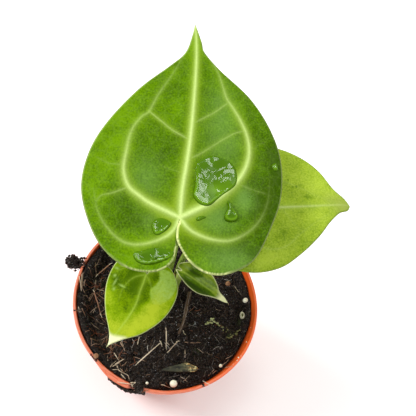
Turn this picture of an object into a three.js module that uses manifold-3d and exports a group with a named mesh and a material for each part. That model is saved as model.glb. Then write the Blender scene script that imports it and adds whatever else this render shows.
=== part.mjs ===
// Potted anthurium hybrid: a young plant with four heart-shaped leaves in an 8 cm nursery pot.
// Millimetres, +Z up, with the origin at the middle of the pot's flat base.
// Seen from above, +X is right and +Y points away from the viewer.
import * as THREE from 'three';
import { mergeVertices } from 'three/addons/utils/BufferGeometryUtils.js';
import Module from 'manifold-3d';

const wasm = await Module();
wasm.setup();

// Driving dimensions
const CLEAR = 0.3;          // gap between pieces that rest on each other
const POT = {
  height: 58, lipRadius: 40, lipHeight: 2.6, lipWidth: 1.5,
  collarTopRadius: 38.8, collarFootRadius: 37.9, collarFoot: 47,
  shoulderRadius: 36.2, shoulder: 46, baseRadius: 26.5, wall: 0.9, floor: 1.4, sides: 56,
};
const DRAIN = { holes: 6, ringRadius: 18, radius: 3 };
const SOIL = { top: 52.2, dome: 1.4, clod: 0.55, edge: 36.9, rings: 11, spokes: 48, facet: 0.25 };
const STEM = { x: 0.9, y: 6.2, radius: 4.2, top: 57, foot: 34, rootRadius: 0.8, roots: 5 };
const BLADE = { thickness: 0.7 };
const RIB = { radius: 0.82, sides: 4, step: 8 };
const STALK = { radius: 1.3, sheathRadius: 1.45, jointRadius: 1.6, jointLength: 5, sides: 7 };

// Colours, from the plant and its pot
const COLOUR = {
  pot: '#e0582e', soil: '#2a211b', stem: '#7c7a45', stalk: '#7f9a3c', sheath: '#a58a4b',
  large: '#4f9a24', side: '#93b53c', front: '#a9cc2c', young: '#3f7a22',
  root: '#8a6a4b', straw: '#b98f62', bark: '#5d5a43', bead: '#f0e7b8', tan: '#b98462',
};

// Blades. A blade is drawn flat and then bent: u runs along the midrib from the petiole to the tip,
// v runs across it, positive on the right. heading turns the tip from +Y towards +X.
// rise, droop, curl, back, cup, fold and roll are angles in degrees. rings and sidePoints set how fine
// the blade is, and ribs how many of the veins it shows.
const BLADES = {
  blade_large: {
    colour: COLOUR.large, attach: [-4.1, 9.5, 128], heading: 4.3, length: 96, halfWidth: 37,
    rise: 6, droop: 32, curl: 0, back: -6, cup: -14, fold: 0, roll: 0, lift: 2,
    rings: 5, sidePoints: 25, ribs: 10,
    left: [[96, 0], [87, -1], [75, -3.5], [66, -9.5], [53, -20.5], [37, -31], [24, -36.5], [10, -38],
      [-2.5, -34.5], [-14, -27.5], [-21, -17.5], [-21.5, -7], [-17, -0.9], [-9, -0.4], [-2, -0.2]],
    right: [[96, 0], [83, 3], [76.5, 4.5], [67.5, 11.5], [56.5, 24], [44, 33], [31, 38.2], [16, 39.2],
      [2.5, 36], [-11.5, 30], [-18.5, 20.5], [-19.5, 12], [-15.5, 4.3], [-9, 0.5], [-2, 0.2]],
  },
  blade_side: {
    colour: COLOUR.side, attach: [17.5, 22.4, 108], heading: 82.3, length: 53.5, halfWidth: 27,
    rise: 8, droop: 25, curl: 25, back: -4, cup: -14, fold: 0, roll: 0, lift: 1,
    rings: 4, sidePoints: 19, ribs: 8,
    left: [[53.5, 0], [50.5, -3], [46, -7], [41.5, -15], [35.5, -21.5], [26, -27.3], [14, -30],
      [2, -28], [-7, -22.5], [-11.5, -13], [-9.5, -3.5], [-5, -0.4], [-1.5, -0.2]],
    right: [[53.5, 0], [51, 2.5], [46.5, 4], [41.5, 8], [36, 13.7], [28, 20], [19, 25], [9, 26.3],
      [0, 24], [-8, 18], [-11, 9.5], [-8.5, 2.2], [-4.5, 0.4], [-1.5, 0.2]],
  },
  blade_front: {
    colour: COLOUR.front, attach: [-11.6, 2.3, 84], heading: 206.3, length: 34, halfWidth: 15,
    rise: 4, droop: 28, curl: 15, back: -4, cup: -12, fold: 0, roll: 0, lift: 0.5,
    rings: 3, sidePoints: 17, ribs: 5,
    left: [[34, 0], [32, -1], [28, -4.5], [22.5, -10], [14, -14.4], [6, -15.7], [-1, -14.5],
      [-6, -10.5], [-8.2, -6], [-6, -1.4], [-3.5, -0.35], [-1.2, -0.2]],
    right: [[34, 0], [31, 0.3], [27.3, 2.3], [22, 6.7], [15.5, 10.6], [8.5, 13], [1, 13.4],
      [-5, 11], [-8, 6.5], [-6, 1.6], [-3.5, 0.35], [-1.2, 0.2]],
  },
  blade_young: {
    colour: COLOUR.young, attach: [4.2, 7.9, 76], heading: 121.7, length: 23.7, halfWidth: 8,
    rise: 2, droop: 20, curl: 0, back: 0, cup: 35, fold: 15, roll: 0, lift: 0,
    rings: 3, sidePoints: 14, ribs: 3,
    left: [[23.7, 0], [21, -1.1], [18, -1.7], [15, -3.8], [11, -5.6], [6, -6.4], [1.5, -5.4],
      [-2, -3], [-2.8, -1.2], [-2, -0.3], [-0.9, -0.2]],
    right: [[23.7, 0], [21.5, 1], [18.5, 1.8], [15.5, 3.2], [10.5, 5.9], [6, 5.6], [1.5, 3.6],
      [-1.5, 1.9], [-2.4, 1], [-1.8, 0.3], [-0.9, 0.2]],
  },
};

// The vein net, as parts of the blade's length and half width: a midrib, two primary veins that swing
// round to the tip as collective veins, two lobe veins and the laterals between them.
const VEINS = [
  { size: 1, line: [[0, 0], [0.29, 0.02], [0.62, 0.03], [0.97, 0]] },
  { size: 0.9, line: [[0, 0], [0.04, -0.28], [0.1, -0.53], [0.19, -0.62], [0.32, -0.59], [0.44, -0.43],
    [0.58, -0.28], [0.73, -0.11]] },
  { size: 0.9, line: [[0, 0], [0.07, 0.27], [0.17, 0.53], [0.28, 0.65], [0.41, 0.62], [0.52, 0.46],
    [0.63, 0.32], [0.79, 0.14]] },
  { size: 0.8, line: [[0, 0], [-0.07, -0.1], [-0.12, -0.3], [-0.12, -0.54], [-0.04, -0.76], [0.03, -0.86]] },
  { size: 0.8, line: [[0, 0], [-0.06, 0.25], [-0.06, 0.5], [-0.01, 0.73], [0.08, 0.87], [0.14, 0.91]] },
  { size: 0.62, line: [[0.34, 0.02], [0.38, -0.2], [0.44, -0.43]] },
  { size: 0.62, line: [[0.41, 0.03], [0.47, 0.23], [0.53, 0.39]] },
  { size: 0.62, line: [[0.25, 0.02], [0.32, 0.25], [0.4, 0.48]] },
  { size: 0.62, line: [[0.09, -0.56], [0.06, -0.78], [0.03, -0.86]] },
  { size: 0.62, line: [[0.18, 0.59], [0.17, 0.73], [0.16, 0.87]] },
];

// Petioles, each from its place on the crown to a point under its blade.
const PETIOLES = {
  petiole_large: { blade: 'blade_large', foot: [-0.4, 8.4],
    bends: [[-0.2, 11.5, 76], [-1, 13, 95], [-3.5, 11.6, 117]] },
  petiole_side: { blade: 'blade_side', foot: [2.9, 8.2], bends: [[5, 14.2, 76], [10.5, 19.3, 94]] },
  petiole_front: { blade: 'blade_front', foot: [-1.2, 4.6], bends: [[-4.6, 4.6, 68], [-9.8, 3.4, 78]] },
  petiole_young: { blade: 'blade_young', foot: [3.3, 4.7], bends: [[3.4, 6, 66]] },
};

// Loose things on the soil, placed by x and y
const BEADS = {
  fertiliser_bead_1: { x: 4.1, y: -34.8, radius: 1.6, colour: COLOUR.bead },
  fertiliser_bead_2: { x: 35.6, y: 3.6, radius: 1.25, colour: COLOUR.bead },
  fertiliser_bead_3: { x: 24.4, y: -26, radius: 0.75, colour: COLOUR.bead },
  fertiliser_bead_4: { x: -6.9, y: -34.6, radius: 0.65, colour: COLOUR.bead },
  fertiliser_prill: { x: 34, y: -3.2, radius: 1.1, stretch: 1.5, colour: COLOUR.bead },
  grit_1: { x: 27.7, y: 11, radius: 1.1, colour: COLOUR.tan },
  grit_2: { x: -29.1, y: -25.6, foot: POT.height + CLEAR, radius: 1.1, colour: COLOUR.tan },
};
const STRAWS = {
  straw_1: [[-11.3, -26.5], [-2.3, -17.8]],
  straw_2: [[0.6, -11.8], [0.8, -19]],
  straw_3: [[5.6, -16.4], [2, -20.6]],
  straw_4: [[-17.6, -25.1], [-22.5, -28.6]],
  straw_5: [[-27.5, -6], [-31, 4.5]],
  straw_6: [[-30, 12], [-24.5, 17.5]],
};
const STRAW_RADIUS = 0.35;
const BARK = { x: 6.6, y: -28.3, turn: 6, thickness: 1.5,
  outline: [[-7.8, 0], [-4, 1.2], [0, 2], [3.4, 2.4], [5.6, 1.4],
    [7.8, -0.2], [6.4, -1.6], [1, -1.5], [-4, -1.1]] };
const DEAD_ROOT = { radius: 0.45, path: [[10.6, 6], [9.5, 0.2], [8.7, -4.4], [7.4, -9], [5.9, -13.2]] };
const CATAPHYLL = { foot: [1.5, 5.9], tip: [1.7, 7.7, 72], halfWidth: 0.9, thickness: 0.6 };
const CLUMP_LEFT = { angle: 158, radius: 3.5, z: 55.8 };
const CLUMP_FRONT = { from: 233, to: 256, radius: 1.35, z: 53 };
const RIM_CRUMB = { angle: 254, radius: 1.6 };

const rad = THREE.MathUtils.degToRad;
const plant = new THREE.Group();

// Adds a named piece to the part.
function add(name, geometry, colour, roughness = 0.6) {
  const material = new THREE.MeshStandardMaterial({ color: colour, roughness, metalness: 0 });
  const mesh = new THREE.Mesh(geometry, material);
  mesh.name = name;
  plant.add(mesh);
  return mesh;
}

// Welds a geometry's shared corners, leaving position alone.
function weld(geometry) {
  const bare = new THREE.BufferGeometry();
  bare.setAttribute('position', geometry.getAttribute('position'));
  if (geometry.index) bare.setIndex(geometry.index);
  return mergeVertices(bare, 1e-4);
}

// Turns a closed geometry inside out where its faces point in.
function facingOut(geometry) {
  const position = geometry.getAttribute('position');
  const index = geometry.index.array;
  const [a, b, c] = [new THREE.Vector3(), new THREE.Vector3(), new THREE.Vector3()];
  let volume = 0;
  for (let i = 0; i < index.length; i += 3) {
    a.fromBufferAttribute(position, index[i]);
    b.fromBufferAttribute(position, index[i + 1]);
    c.fromBufferAttribute(position, index[i + 2]);
    volume += a.dot(b.cross(c));
  }
  if (volume < 0) {
    for (let i = 0; i < index.length; i += 3) [index[i], index[i + 1]] = [index[i + 1], index[i]];
  }
  return geometry;
}

function solid(geometry) {
  const welded = facingOut(weld(geometry));
  return new wasm.Manifold(new wasm.Mesh({
    numProp: 3,
    vertProperties: Float32Array.from(welded.getAttribute('position').array),
    triVerts: Uint32Array.from(welded.index.array),
  }));
}

function toGeometry(body) {
  const mesh = body.getMesh();
  const geometry = new THREE.BufferGeometry();
  geometry.setAttribute('position', new THREE.BufferAttribute(mesh.vertProperties, 3));
  geometry.setIndex(new THREE.BufferAttribute(mesh.triVerts, 1));
  return geometry;
}

// Joins pieces that grow into each other. Slivers shorter than SLIVER are closed up.
const SLIVER = 0.02;
function fuse(geometries) {
  const bodies = geometries.map(solid);
  return toGeometry(bodies.reduce((sum, body) => sum.add(body)).simplify(SLIVER));
}

// A turned solid about the Z axis, from [radius, z] pairs that start and end on the axis.
function turned(profile, sides) {
  const points = profile.map(([radius, z]) => new THREE.Vector2(radius, z));
  return new THREE.LatheGeometry(points, sides).rotateX(Math.PI / 2);
}

// A round bar along a curve.
function bar(points, radius, sides, steps) {
  const section = new THREE.Shape();
  for (let i = 0; i < sides; i += 1) {
    const angle = (2 * Math.PI * i) / sides;
    const place = [radius * Math.cos(angle), radius * Math.sin(angle)];
    if (i === 0) section.moveTo(...place);
    else section.lineTo(...place);
  }
  const path = new THREE.CatmullRomCurve3(points);
  return new THREE.ExtrudeGeometry(section, { steps, extrudePath: path, bevelEnabled: false });
}

// A closed skin over rings of points, with a fan at each end.
function loft(rings) {
  const count = rings[0].length;
  const positions = rings.flat().flatMap((point) => [point.x, point.y, point.z]);
  const faces = [];
  for (let ring = 0; ring + 1 < rings.length; ring += 1) {
    for (let i = 0; i < count; i += 1) {
      const next = (i + 1) % count;
      const [a, b] = [ring * count + i, ring * count + next];
      faces.push(a, b, b + count, a, b + count, a + count);
    }
  }
  for (const [ring, flip] of [[0, true], [rings.length - 1, false]]) {
    const start = ring * count;
    for (let i = 1; i + 1 < count; i += 1) {
      faces.push(start, start + (flip ? i + 1 : i), start + (flip ? i : i + 1));
    }
  }
  const geometry = new THREE.BufferGeometry();
  geometry.setAttribute('position', new THREE.Float32BufferAttribute(positions, 3));
  geometry.setIndex(faces);
  return facingOut(geometry);
}

// An uneven ball of soil or grit.
function lump(radius, stretch, roughness, seed, detail = [8, 6]) {
  const ball = weld(new THREE.SphereGeometry(radius, ...detail));
  const position = ball.getAttribute('position');
  const point = new THREE.Vector3();
  for (let i = 0; i < position.count; i += 1) {
    point.fromBufferAttribute(position, i);
    const wave = Math.sin(2.1 * point.x / radius + seed) * Math.cos(1.7 * point.y / radius + 2 * seed)
      + 0.6 * Math.sin(3.1 * point.z / radius + 3 * seed);
    point.multiplyScalar(1 + roughness * wave).multiply(stretch);
    position.setXYZ(i, point.x, point.y, point.z);
  }
  return facingOut(ball);
}

// Pot

function pot() {
  const outside = [
    [0, 0], [POT.baseRadius - 1, 0], [POT.baseRadius, 1], [POT.shoulderRadius, POT.shoulder],
    [POT.collarFootRadius, POT.collarFoot], [POT.collarTopRadius, POT.height - POT.lipHeight],
    [POT.lipRadius, POT.height - POT.lipHeight + 0.5], [POT.lipRadius, POT.height - 0.6],
    [POT.lipRadius - 0.5, POT.height],
  ];
  const inside = [
    [POT.lipRadius - POT.lipWidth, POT.height], [POT.collarTopRadius - POT.wall, POT.height - 1],
    [POT.collarFootRadius - POT.wall, POT.collarFoot + 0.5],
    [POT.shoulderRadius - POT.wall, POT.shoulder + 0.5],
    [POT.baseRadius - POT.wall, POT.floor], [0, POT.floor],
  ];
  let shell = solid(turned([...outside, ...inside], POT.sides));
  const drill = [[0, -1], [DRAIN.radius, -1], [DRAIN.radius, POT.floor + 1], [0, POT.floor + 1]];
  for (let i = 0; i < DRAIN.holes; i += 1) {
    const angle = (2 * Math.PI * i) / DRAIN.holes;
    const hole = turned(drill, 12);
    hole.translate(DRAIN.ringRadius * Math.cos(angle), DRAIN.ringRadius * Math.sin(angle), 0);
    shell = shell.subtract(solid(hole));
  }
  return toGeometry(shell);
}

// Soil

// Height of the soil's crumbly top.
function soilTop(x, y) {
  const out = Math.hypot(x, y) / SOIL.edge;
  const clods = Math.sin(0.52 * x + 1.4 * Math.sin(0.23 * y)) * Math.cos(0.47 * y - 1.2 * Math.sin(0.19 * x))
    + 0.5 * Math.sin(0.83 * y + 0.4 * x + 1) * Math.sin(0.71 * x - 0.3 * y);
  return SOIL.top + SOIL.dome * (1 - out * out) + SOIL.clod * clods;
}

function soil() {
  const rings = [];
  const ring = (radius, height) => {
    const points = [];
    for (let i = 0; i < SOIL.spokes; i += 1) {
      const angle = (2 * Math.PI * i) / SOIL.spokes;
      const [x, y] = [radius * Math.cos(angle), radius * Math.sin(angle)];
      points.push(new THREE.Vector3(x, y, height ?? soilTop(x, y)));
    }
    rings.push(points);
  };
  ring(POT.baseRadius - POT.wall - CLEAR, POT.floor + CLEAR);
  ring(POT.shoulderRadius - POT.wall - CLEAR, POT.shoulder + 0.5);
  ring(POT.collarFootRadius - POT.wall - CLEAR, POT.collarFoot + 0.8);
  for (let i = SOIL.rings; i > 0; i -= 1) ring((SOIL.edge * i) / SOIL.rings);
  const hole = [[0, STEM.foot - 2], [STEM.radius + CLEAR, STEM.foot - 2], [STEM.radius + CLEAR, 62], [0, 62]];
  const drill = turned(hole, 14).translate(STEM.x, STEM.y, 0);
  return toGeometry(solid(loft(rings)).subtract(solid(drill)).simplify(SLIVER));
}

// Height at which a thing of a given reach lies on the soil, whose flat facets stand a little out of
// the formula's surface.
function seat(x, y, reach) {
  let height = -Infinity;
  for (let i = 0; i < 12; i += 1) {
    for (const share of [0, 0.5, 1]) {
      const angle = (Math.PI * i) / 6;
      const under = [x + share * reach * Math.cos(angle), y + share * reach * Math.sin(angle)];
      height = Math.max(height, soilTop(...under));
    }
  }
  return height + SOIL.facet + CLEAR;
}

// Stem and petioles

// The rootstock: a ringed crown on a thinner foot with stubs of its thick roots, in the soil's hole.
function stem() {
  const { radius, top, foot } = STEM;
  const body = turned([
    [0, foot], [1.6, foot], [2.4, foot + 3], [2.7, foot + 12], [radius - 0.6, foot + 15],
    [radius - 0.2, 51], [radius - 0.5, 52], [radius, 53.5], [radius - 0.4, 54.6], [radius, 55.8],
    [radius - 0.3, top], [0, top],
  ], 16);
  const stubs = [];
  for (let i = 0; i < STEM.roots; i += 1) {
    const angle = (2 * Math.PI * i) / STEM.roots + 0.3;
    const at = (reach, z) => new THREE.Vector3(reach * Math.cos(angle), reach * Math.sin(angle), z);
    stubs.push(bar([at(1.6, foot + 14), at(3.1, foot + 8), at(3.2, foot - 1)], STEM.rootRadius, 6, 5));
  }
  return fuse([body, ...stubs]).translate(STEM.x, STEM.y, 0);
}

// A petiole: a round stalk with a thicker sheath at its foot and a swollen joint under the blade.
function petiole({ blade, foot, bends }) {
  const form = BLADES[blade];
  const ridge = BLADE.thickness / 2 + RIB.radius + CLEAR;
  const head = bladePoint(form, 0, 0, -ridge);
  const start = new THREE.Vector3(...foot, STEM.top + CLEAR);
  const above = start.clone().setZ(start.z + 4);
  const points = [start, above, ...bends.map((bend) => new THREE.Vector3(...bend)), head];
  const path = new THREE.CatmullRomCurve3(points);
  const length = path.getLength();
  const part = (from, to, count) => Array.from({ length: count }, (_, i) =>
    path.getPointAt(THREE.MathUtils.lerp(from, to, i / (count - 1))));
  const jointFrom = 1 - STALK.jointLength / length;
  const sheathTo = Math.min(0.35, 12 / length);
  const steps = Math.round(length / 8) + 2;
  return fuse([
    bar(part(0.01, 0.985, steps), STALK.radius, STALK.sides, steps),
    bar(part(jointFrom, 1, 3), STALK.jointRadius, STALK.sides, 2),
    bar(part(0, sheathTo, 4), STALK.sheathRadius, STALK.sides, 3),
  ]);
}

// The dry sheath leaf at the foot of the young petiole: a narrow pointed scale, curved across.
function cataphyll() {
  const { foot, tip, halfWidth, thickness } = CATAPHYLL;
  const from = new THREE.Vector3(...foot, STEM.top + CLEAR);
  const to = new THREE.Vector3(...tip);
  const section = [[-1, 0.25], [-0.5, 0], [0, -0.12], [0.5, 0],
    [1, 0.25], [0.5, 0.36], [0, 0.3], [-0.5, 0.36]];
  const across = new THREE.Vector3(1, 1, 0).normalize();
  const outward = new THREE.Vector3(-1, 1, 0).normalize();
  const rings = [0, 0.25, 0.5, 0.75, 1].map((along) => {
    const centre = from.clone().lerp(to, along);
    const width = halfWidth * (1 - 0.8 * along ** 2);
    return section.map(([side, out]) => centre.clone()
      .addScaledVector(across, side * width)
      .addScaledVector(outward, out * (width + thickness)));
  });
  return loft(rings);
}

// Blades

// Pitch of the midrib above the horizontal, in degrees, at a share of the blade's length.
function pitch(form, share) {
  const ahead = Math.max(share, 0);
  const behind = Math.max(-share, 0);
  const atTip = Math.max((ahead - 0.85) / 0.15, 0);
  return form.rise - form.droop * ahead ** 1.5 - form.curl * atTip ** 1.5 - form.back * behind / 0.3;
}

// Place of the midrib at u: how far ahead, how high and how steep.
function spine(form, u) {
  const steps = 24;
  let [ahead, high] = [0, 0];
  for (let i = 0; i < steps; i += 1) {
    const angle = rad(pitch(form, ((i + 0.5) / steps) * u / form.length));
    ahead += Math.cos(angle) * u / steps;
    high += Math.sin(angle) * u / steps;
  }
  return { ahead, high, angle: rad(pitch(form, u / form.length)) };
}

// Bends the flat blade's point (u, v), which lies out of the blade's middle plane by height.
function bladePoint(form, u, v, height = 0) {
  const { ahead, high, angle } = spine(form, u);
  const cup = rad(form.cup) / form.halfWidth;
  const fold = rad(form.fold);
  const across = Math.sin(cup * v) / cup * Math.cos(fold);
  const soft = 2;
  const out = (1 - Math.cos(cup * v)) / cup + Math.sin(fold) * (Math.hypot(v, soft) - soft)
    + form.lift * Math.exp(-((v / 5) ** 2)) * THREE.MathUtils.clamp(-u / 12, 0, 1) + height;
  const roll = rad(form.roll);
  const side = across * Math.cos(roll) - out * Math.sin(roll);
  const up = across * Math.sin(roll) + out * Math.cos(roll);
  const heading = rad(form.heading);
  const forward = new THREE.Vector3(Math.sin(heading), Math.cos(heading), 0);
  const right = new THREE.Vector3(Math.cos(heading), -Math.sin(heading), 0);
  return new THREE.Vector3(...form.attach)
    .addScaledVector(forward, ahead - up * Math.sin(angle))
    .addScaledVector(right, side)
    .add(new THREE.Vector3(0, 0, high + up * Math.cos(angle)));
}

// The flat outline, from the notch round the left lobe to the tip and back by the right lobe.
function outline(form) {
  const spaced = (side) => {
    const curve = new THREE.SplineCurve(side.map(([u, v]) => new THREE.Vector2(u, v)));
    return curve.getSpacedPoints(form.sidePoints);
  };
  const left = spaced(form.left).reverse();
  const right = spaced(form.right);
  return [...left, ...right.slice(1)];
}

// The thin curved shell of a blade: rings of points that grow out of the petiole's end to the outline.
// Both faces are split into triangles alike.
function shell(form) {
  const edge = outline(form);
  const count = edge.length;
  const positions = [];
  const faces = [];
  const layer = (height) => {
    const start = positions.length / 3;
    positions.push(...bladePoint(form, 0, 0, height).toArray());
    for (let ring = 1; ring <= form.rings; ring += 1) {
      for (const point of edge) {
        const share = ring / form.rings;
        positions.push(...bladePoint(form, share * point.x, share * point.y, height).toArray());
      }
    }
    return start;
  };
  const top = layer(BLADE.thickness / 2);
  const bottom = layer(-BLADE.thickness / 2);
  const at = (ring, i) => (ring === 0 ? 0 : 1 + (ring - 1) * count + i);
  const face = (a, b, c) => faces.push(top + a, top + b, top + c, bottom + a, bottom + c, bottom + b);
  const wall = (a, b) => faces.push(top + b, top + a, bottom + a, top + b, bottom + a, bottom + b);
  for (let i = 0; i + 1 < count; i += 1) {
    face(0, at(1, i), at(1, i + 1));
    for (let ring = 1; ring < form.rings; ring += 1) {
      face(at(ring, i), at(ring + 1, i), at(ring + 1, i + 1));
      face(at(ring, i), at(ring + 1, i + 1), at(ring, i + 1));
    }
    wall(at(form.rings, i), at(form.rings, i + 1));
  }
  for (let ring = 0; ring < form.rings; ring += 1) {
    wall(at(ring, 0), at(ring + 1, 0));
    wall(at(ring + 1, count - 1), at(ring, count - 1));
  }
  const geometry = new THREE.BufferGeometry();
  geometry.setAttribute('position', new THREE.Float32BufferAttribute(positions, 3));
  geometry.setIndex(faces);
  return geometry;
}

// A blade with its veins, which stand out as ribs above and below it.
function blade(form) {
  const size = Math.max(0.72, Math.sqrt(form.length / BLADES.blade_large.length));
  const ribs = VEINS.slice(0, form.ribs).map((vein) => {
    const flat = new THREE.SplineCurve(vein.line.map(([along, across]) =>
      new THREE.Vector2(along * form.length, across * form.halfWidth)));
    const steps = Math.max(2, Math.round(flat.getLength() / RIB.step));
    const points = flat.getSpacedPoints(steps).map((point) => bladePoint(form, point.x, point.y));
    return bar(points, RIB.radius * size * (0.4 + 0.6 * vein.size), RIB.sides, steps);
  });
  return fuse([shell(form), ...ribs]);
}

// Loose things on the soil and the rim

function bead({ x, y, radius, stretch = 1, foot = seat(x, y, radius * stretch) }) {
  const ball = lump(radius, new THREE.Vector3(1, stretch, 1), 0.02, x);
  return ball.translate(x, y, foot + radius);
}

function straw([from, to]) {
  const ends = [from, to].map(([x, y]) => new THREE.Vector3(x, y, seat(x, y, 1) + STRAW_RADIUS));
  const middle = ends[0].clone().lerp(ends[1], 0.5);
  middle.z = Math.max(middle.z, seat(middle.x, middle.y, ends[0].distanceTo(ends[1]) / 3) + STRAW_RADIUS);
  return bar([ends[0], middle, ends[1]], STRAW_RADIUS, 4, 4);
}

function bark() {
  const shape = new THREE.Shape(BARK.outline.map(([x, y]) => new THREE.Vector2(x, y)));
  const chip = new THREE.ExtrudeGeometry(shape, { depth: BARK.thickness, bevelEnabled: false });
  chip.rotateZ(rad(BARK.turn));
  let height = -Infinity;
  for (const [x, y] of BARK.outline) height = Math.max(height, seat(BARK.x + x, BARK.y + y, 2));
  return chip.translate(BARK.x, BARK.y, height);
}

function deadRoot() {
  const { path, radius } = DEAD_ROOT;
  const points = path.map(([x, y]) => new THREE.Vector3(x, y, seat(x, y, 2.6) + radius));
  return bar(points, radius, 6, 12);
}

// Clods that stick to the pot: one beside the lip, one under the lip's overhang and one on top of it.
function clumpLeft() {
  const { angle, radius, z } = CLUMP_LEFT;
  const out = POT.lipRadius + CLEAR + radius * 1.12;
  const ball = lump(radius, new THREE.Vector3(1, 1, 0.85), 0.12, 2, [14, 9]);
  return ball.translate(out * Math.cos(rad(angle)), out * Math.sin(rad(angle)), z);
}

function clumpFront() {
  const { from, to, radius, z } = CLUMP_FRONT;
  const [stations, sides] = [8, 7];
  const rings = [];
  for (let i = 0; i <= stations; i += 1) {
    const angle = rad(THREE.MathUtils.lerp(from, to, i / stations));
    const size = radius * (0.35 + 0.65 * Math.sin(Math.PI * i / stations)) * (1 + 0.15 * Math.sin(5 * i));
    const out = POT.collarTopRadius + CLEAR + size;
    rings.push(Array.from({ length: sides }, (_, k) => {
      const turn = (2 * Math.PI * k) / sides;
      const reach = out + size * Math.cos(turn);
      const height = z + 1.3 * size * Math.sin(turn);
      return new THREE.Vector3(reach * Math.cos(angle), reach * Math.sin(angle), height);
    }));
  }
  return loft(rings);
}

function rimCrumb() {
  const { angle, radius } = RIM_CRUMB;
  const out = POT.lipRadius - POT.lipWidth / 2;
  const ball = lump(radius, new THREE.Vector3(1.1, 1, 0.7), 0.1, 5);
  const height = POT.height + CLEAR + radius * 0.82;
  return ball.translate(out * Math.cos(rad(angle)), out * Math.sin(rad(angle)), height);
}

add('pot', pot(), COLOUR.pot, 0.42);
add('soil', soil(), COLOUR.soil, 0.95);
add('stem', stem(), COLOUR.stem, 0.7);
for (const [name, route] of Object.entries(PETIOLES)) add(name, petiole(route), COLOUR.stalk, 0.45);
for (const [name, form] of Object.entries(BLADES)) add(name, blade(form), form.colour, 0.4);
add('cataphyll', cataphyll(), COLOUR.sheath, 0.8);
add('dead_root', deadRoot(), COLOUR.root, 0.85);
add('bark_chip', bark(), COLOUR.bark, 0.9);
for (const [name, form] of Object.entries(BEADS)) add(name, bead(form), form.colour, 0.6);
for (const [name, line] of Object.entries(STRAWS)) add(name, straw(line), COLOUR.straw, 0.85);
add('rim_clump_left', clumpLeft(), COLOUR.soil, 0.95);
add('rim_clump_front', clumpFront(), COLOUR.soil, 0.95);
add('rim_crumb', rimCrumb(), COLOUR.soil, 0.95);

export default plant;
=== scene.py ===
"""Potted anthurium hybrid: the finished look of the plant, its soil and its nursery pot."""
import math

import bmesh
import bpy
import numpy as np
from mathutils import Matrix, Vector, noise
from mathutils.geometry import delaunay_2d_cdt


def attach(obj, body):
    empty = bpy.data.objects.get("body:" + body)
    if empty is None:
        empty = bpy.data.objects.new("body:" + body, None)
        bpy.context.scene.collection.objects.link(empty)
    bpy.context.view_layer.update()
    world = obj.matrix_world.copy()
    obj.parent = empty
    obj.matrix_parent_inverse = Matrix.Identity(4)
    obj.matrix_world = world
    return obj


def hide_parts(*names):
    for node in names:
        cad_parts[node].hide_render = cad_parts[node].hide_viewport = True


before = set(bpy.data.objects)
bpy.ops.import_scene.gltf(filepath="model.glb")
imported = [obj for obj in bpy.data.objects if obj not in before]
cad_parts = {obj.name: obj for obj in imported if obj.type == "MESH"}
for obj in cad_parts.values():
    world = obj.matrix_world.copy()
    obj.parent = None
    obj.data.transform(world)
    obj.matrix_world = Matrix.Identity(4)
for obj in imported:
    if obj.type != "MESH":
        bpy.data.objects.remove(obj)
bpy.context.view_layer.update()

# Sizes below are in millimetres, as on the plant itself. MM turns them into metres.
MM = 0.001
BODY = "root"

# Camera, at the photograph's viewing angle
CAMERA = dict(target=(11.24, 26.74, 100.0), distance=400.0, azimuth=-20.49, elevation=64.57)
IMAGE_SIDE = 416
FOCAL_PIXELS = 987.7
SENSOR = 36.0

# Pot, soil and crown, as in the part's source
POT = dict(
    height=58.0, lip_radius=40.0, lip_height=2.6, lip_width=1.5, collar_top_radius=38.8,
    collar_foot_radius=37.9, collar_foot=47.0, shoulder_radius=36.2, shoulder=46.0,
    base_radius=26.5, wall=0.9, floor=1.4,
)
DRAIN = dict(holes=6, ring_radius=18.0, radius=3.0)
SOIL = dict(top=52.2, dome=1.4, clod=0.55, edge=36.9)
STEM = dict(x=0.9, y=6.2, top=57.0, foot=34.0)
STALK = dict(radius=1.3, sheath_radius=1.45, joint_radius=1.6, joint_length=5.0)
# A petiole ends this far under the blade's middle sheet
RIDGE = 1.47
# The gap left between neighbours, and how far above the clods a loose thing lies
CLEAR = 0.3
SEAT = 0.55

# Each petiole's blade, its foot on the stem and the places it bends through
PETIOLES = {
    "petiole_large": dict(blade="blade_large", foot=(-0.4, 8.4),
                          bends=[(-0.2, 11.5, 76), (-1, 13, 95), (-3.5, 11.6, 117)]),
    "petiole_side": dict(blade="blade_side", foot=(2.9, 8.2), bends=[(5, 14.2, 76), (10.5, 19.3, 94)]),
    "petiole_front": dict(blade="blade_front", foot=(-1.2, 4.6), bends=[(-4.6, 4.6, 68), (-9.8, 3.4, 78)]),
    "petiole_young": dict(blade="blade_young", foot=(3.3, 4.7), bends=[(3.4, 6, 66)]),
}
# Height and radius
STEM_PROFILE = [(34, 1.6), (37, 2.4), (46, 2.7), (49, 3.6), (51, 4.0), (52, 3.7), (53.5, 4.2),
                (54.6, 3.8), (55.8, 4.2), (57, 3.9)]
# Each stub of root: its reach from the stem's middle and its height, from the top down
ROOT_ROUTE = ((1.6, 48), (3.1, 42), (3.2, 33))
CATAPHYLL = dict(foot=(1.5, 5.9), tip=(1.7, 7.7, 72), half_width=0.9, thickness=0.6)
# Beads: place and radius. Grit: place, radius and the height of what it lies on, where not the soil
BEADS = {
    "fertiliser_bead_1": (4.1, -34.8, 1.6), "fertiliser_bead_2": (35.6, 3.6, 1.25),
    "fertiliser_bead_3": (24.4, -26, 0.75), "fertiliser_bead_4": (-6.9, -34.6, 0.65),
}
PRILL = dict(x=34, y=-3.2, radius=1.1, stretch=1.5)
GRIT = {"grit_1": (27.7, 11, 1.1, None), "grit_2": (-29.1, -25.6, 1.1, 58.3)}
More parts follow.
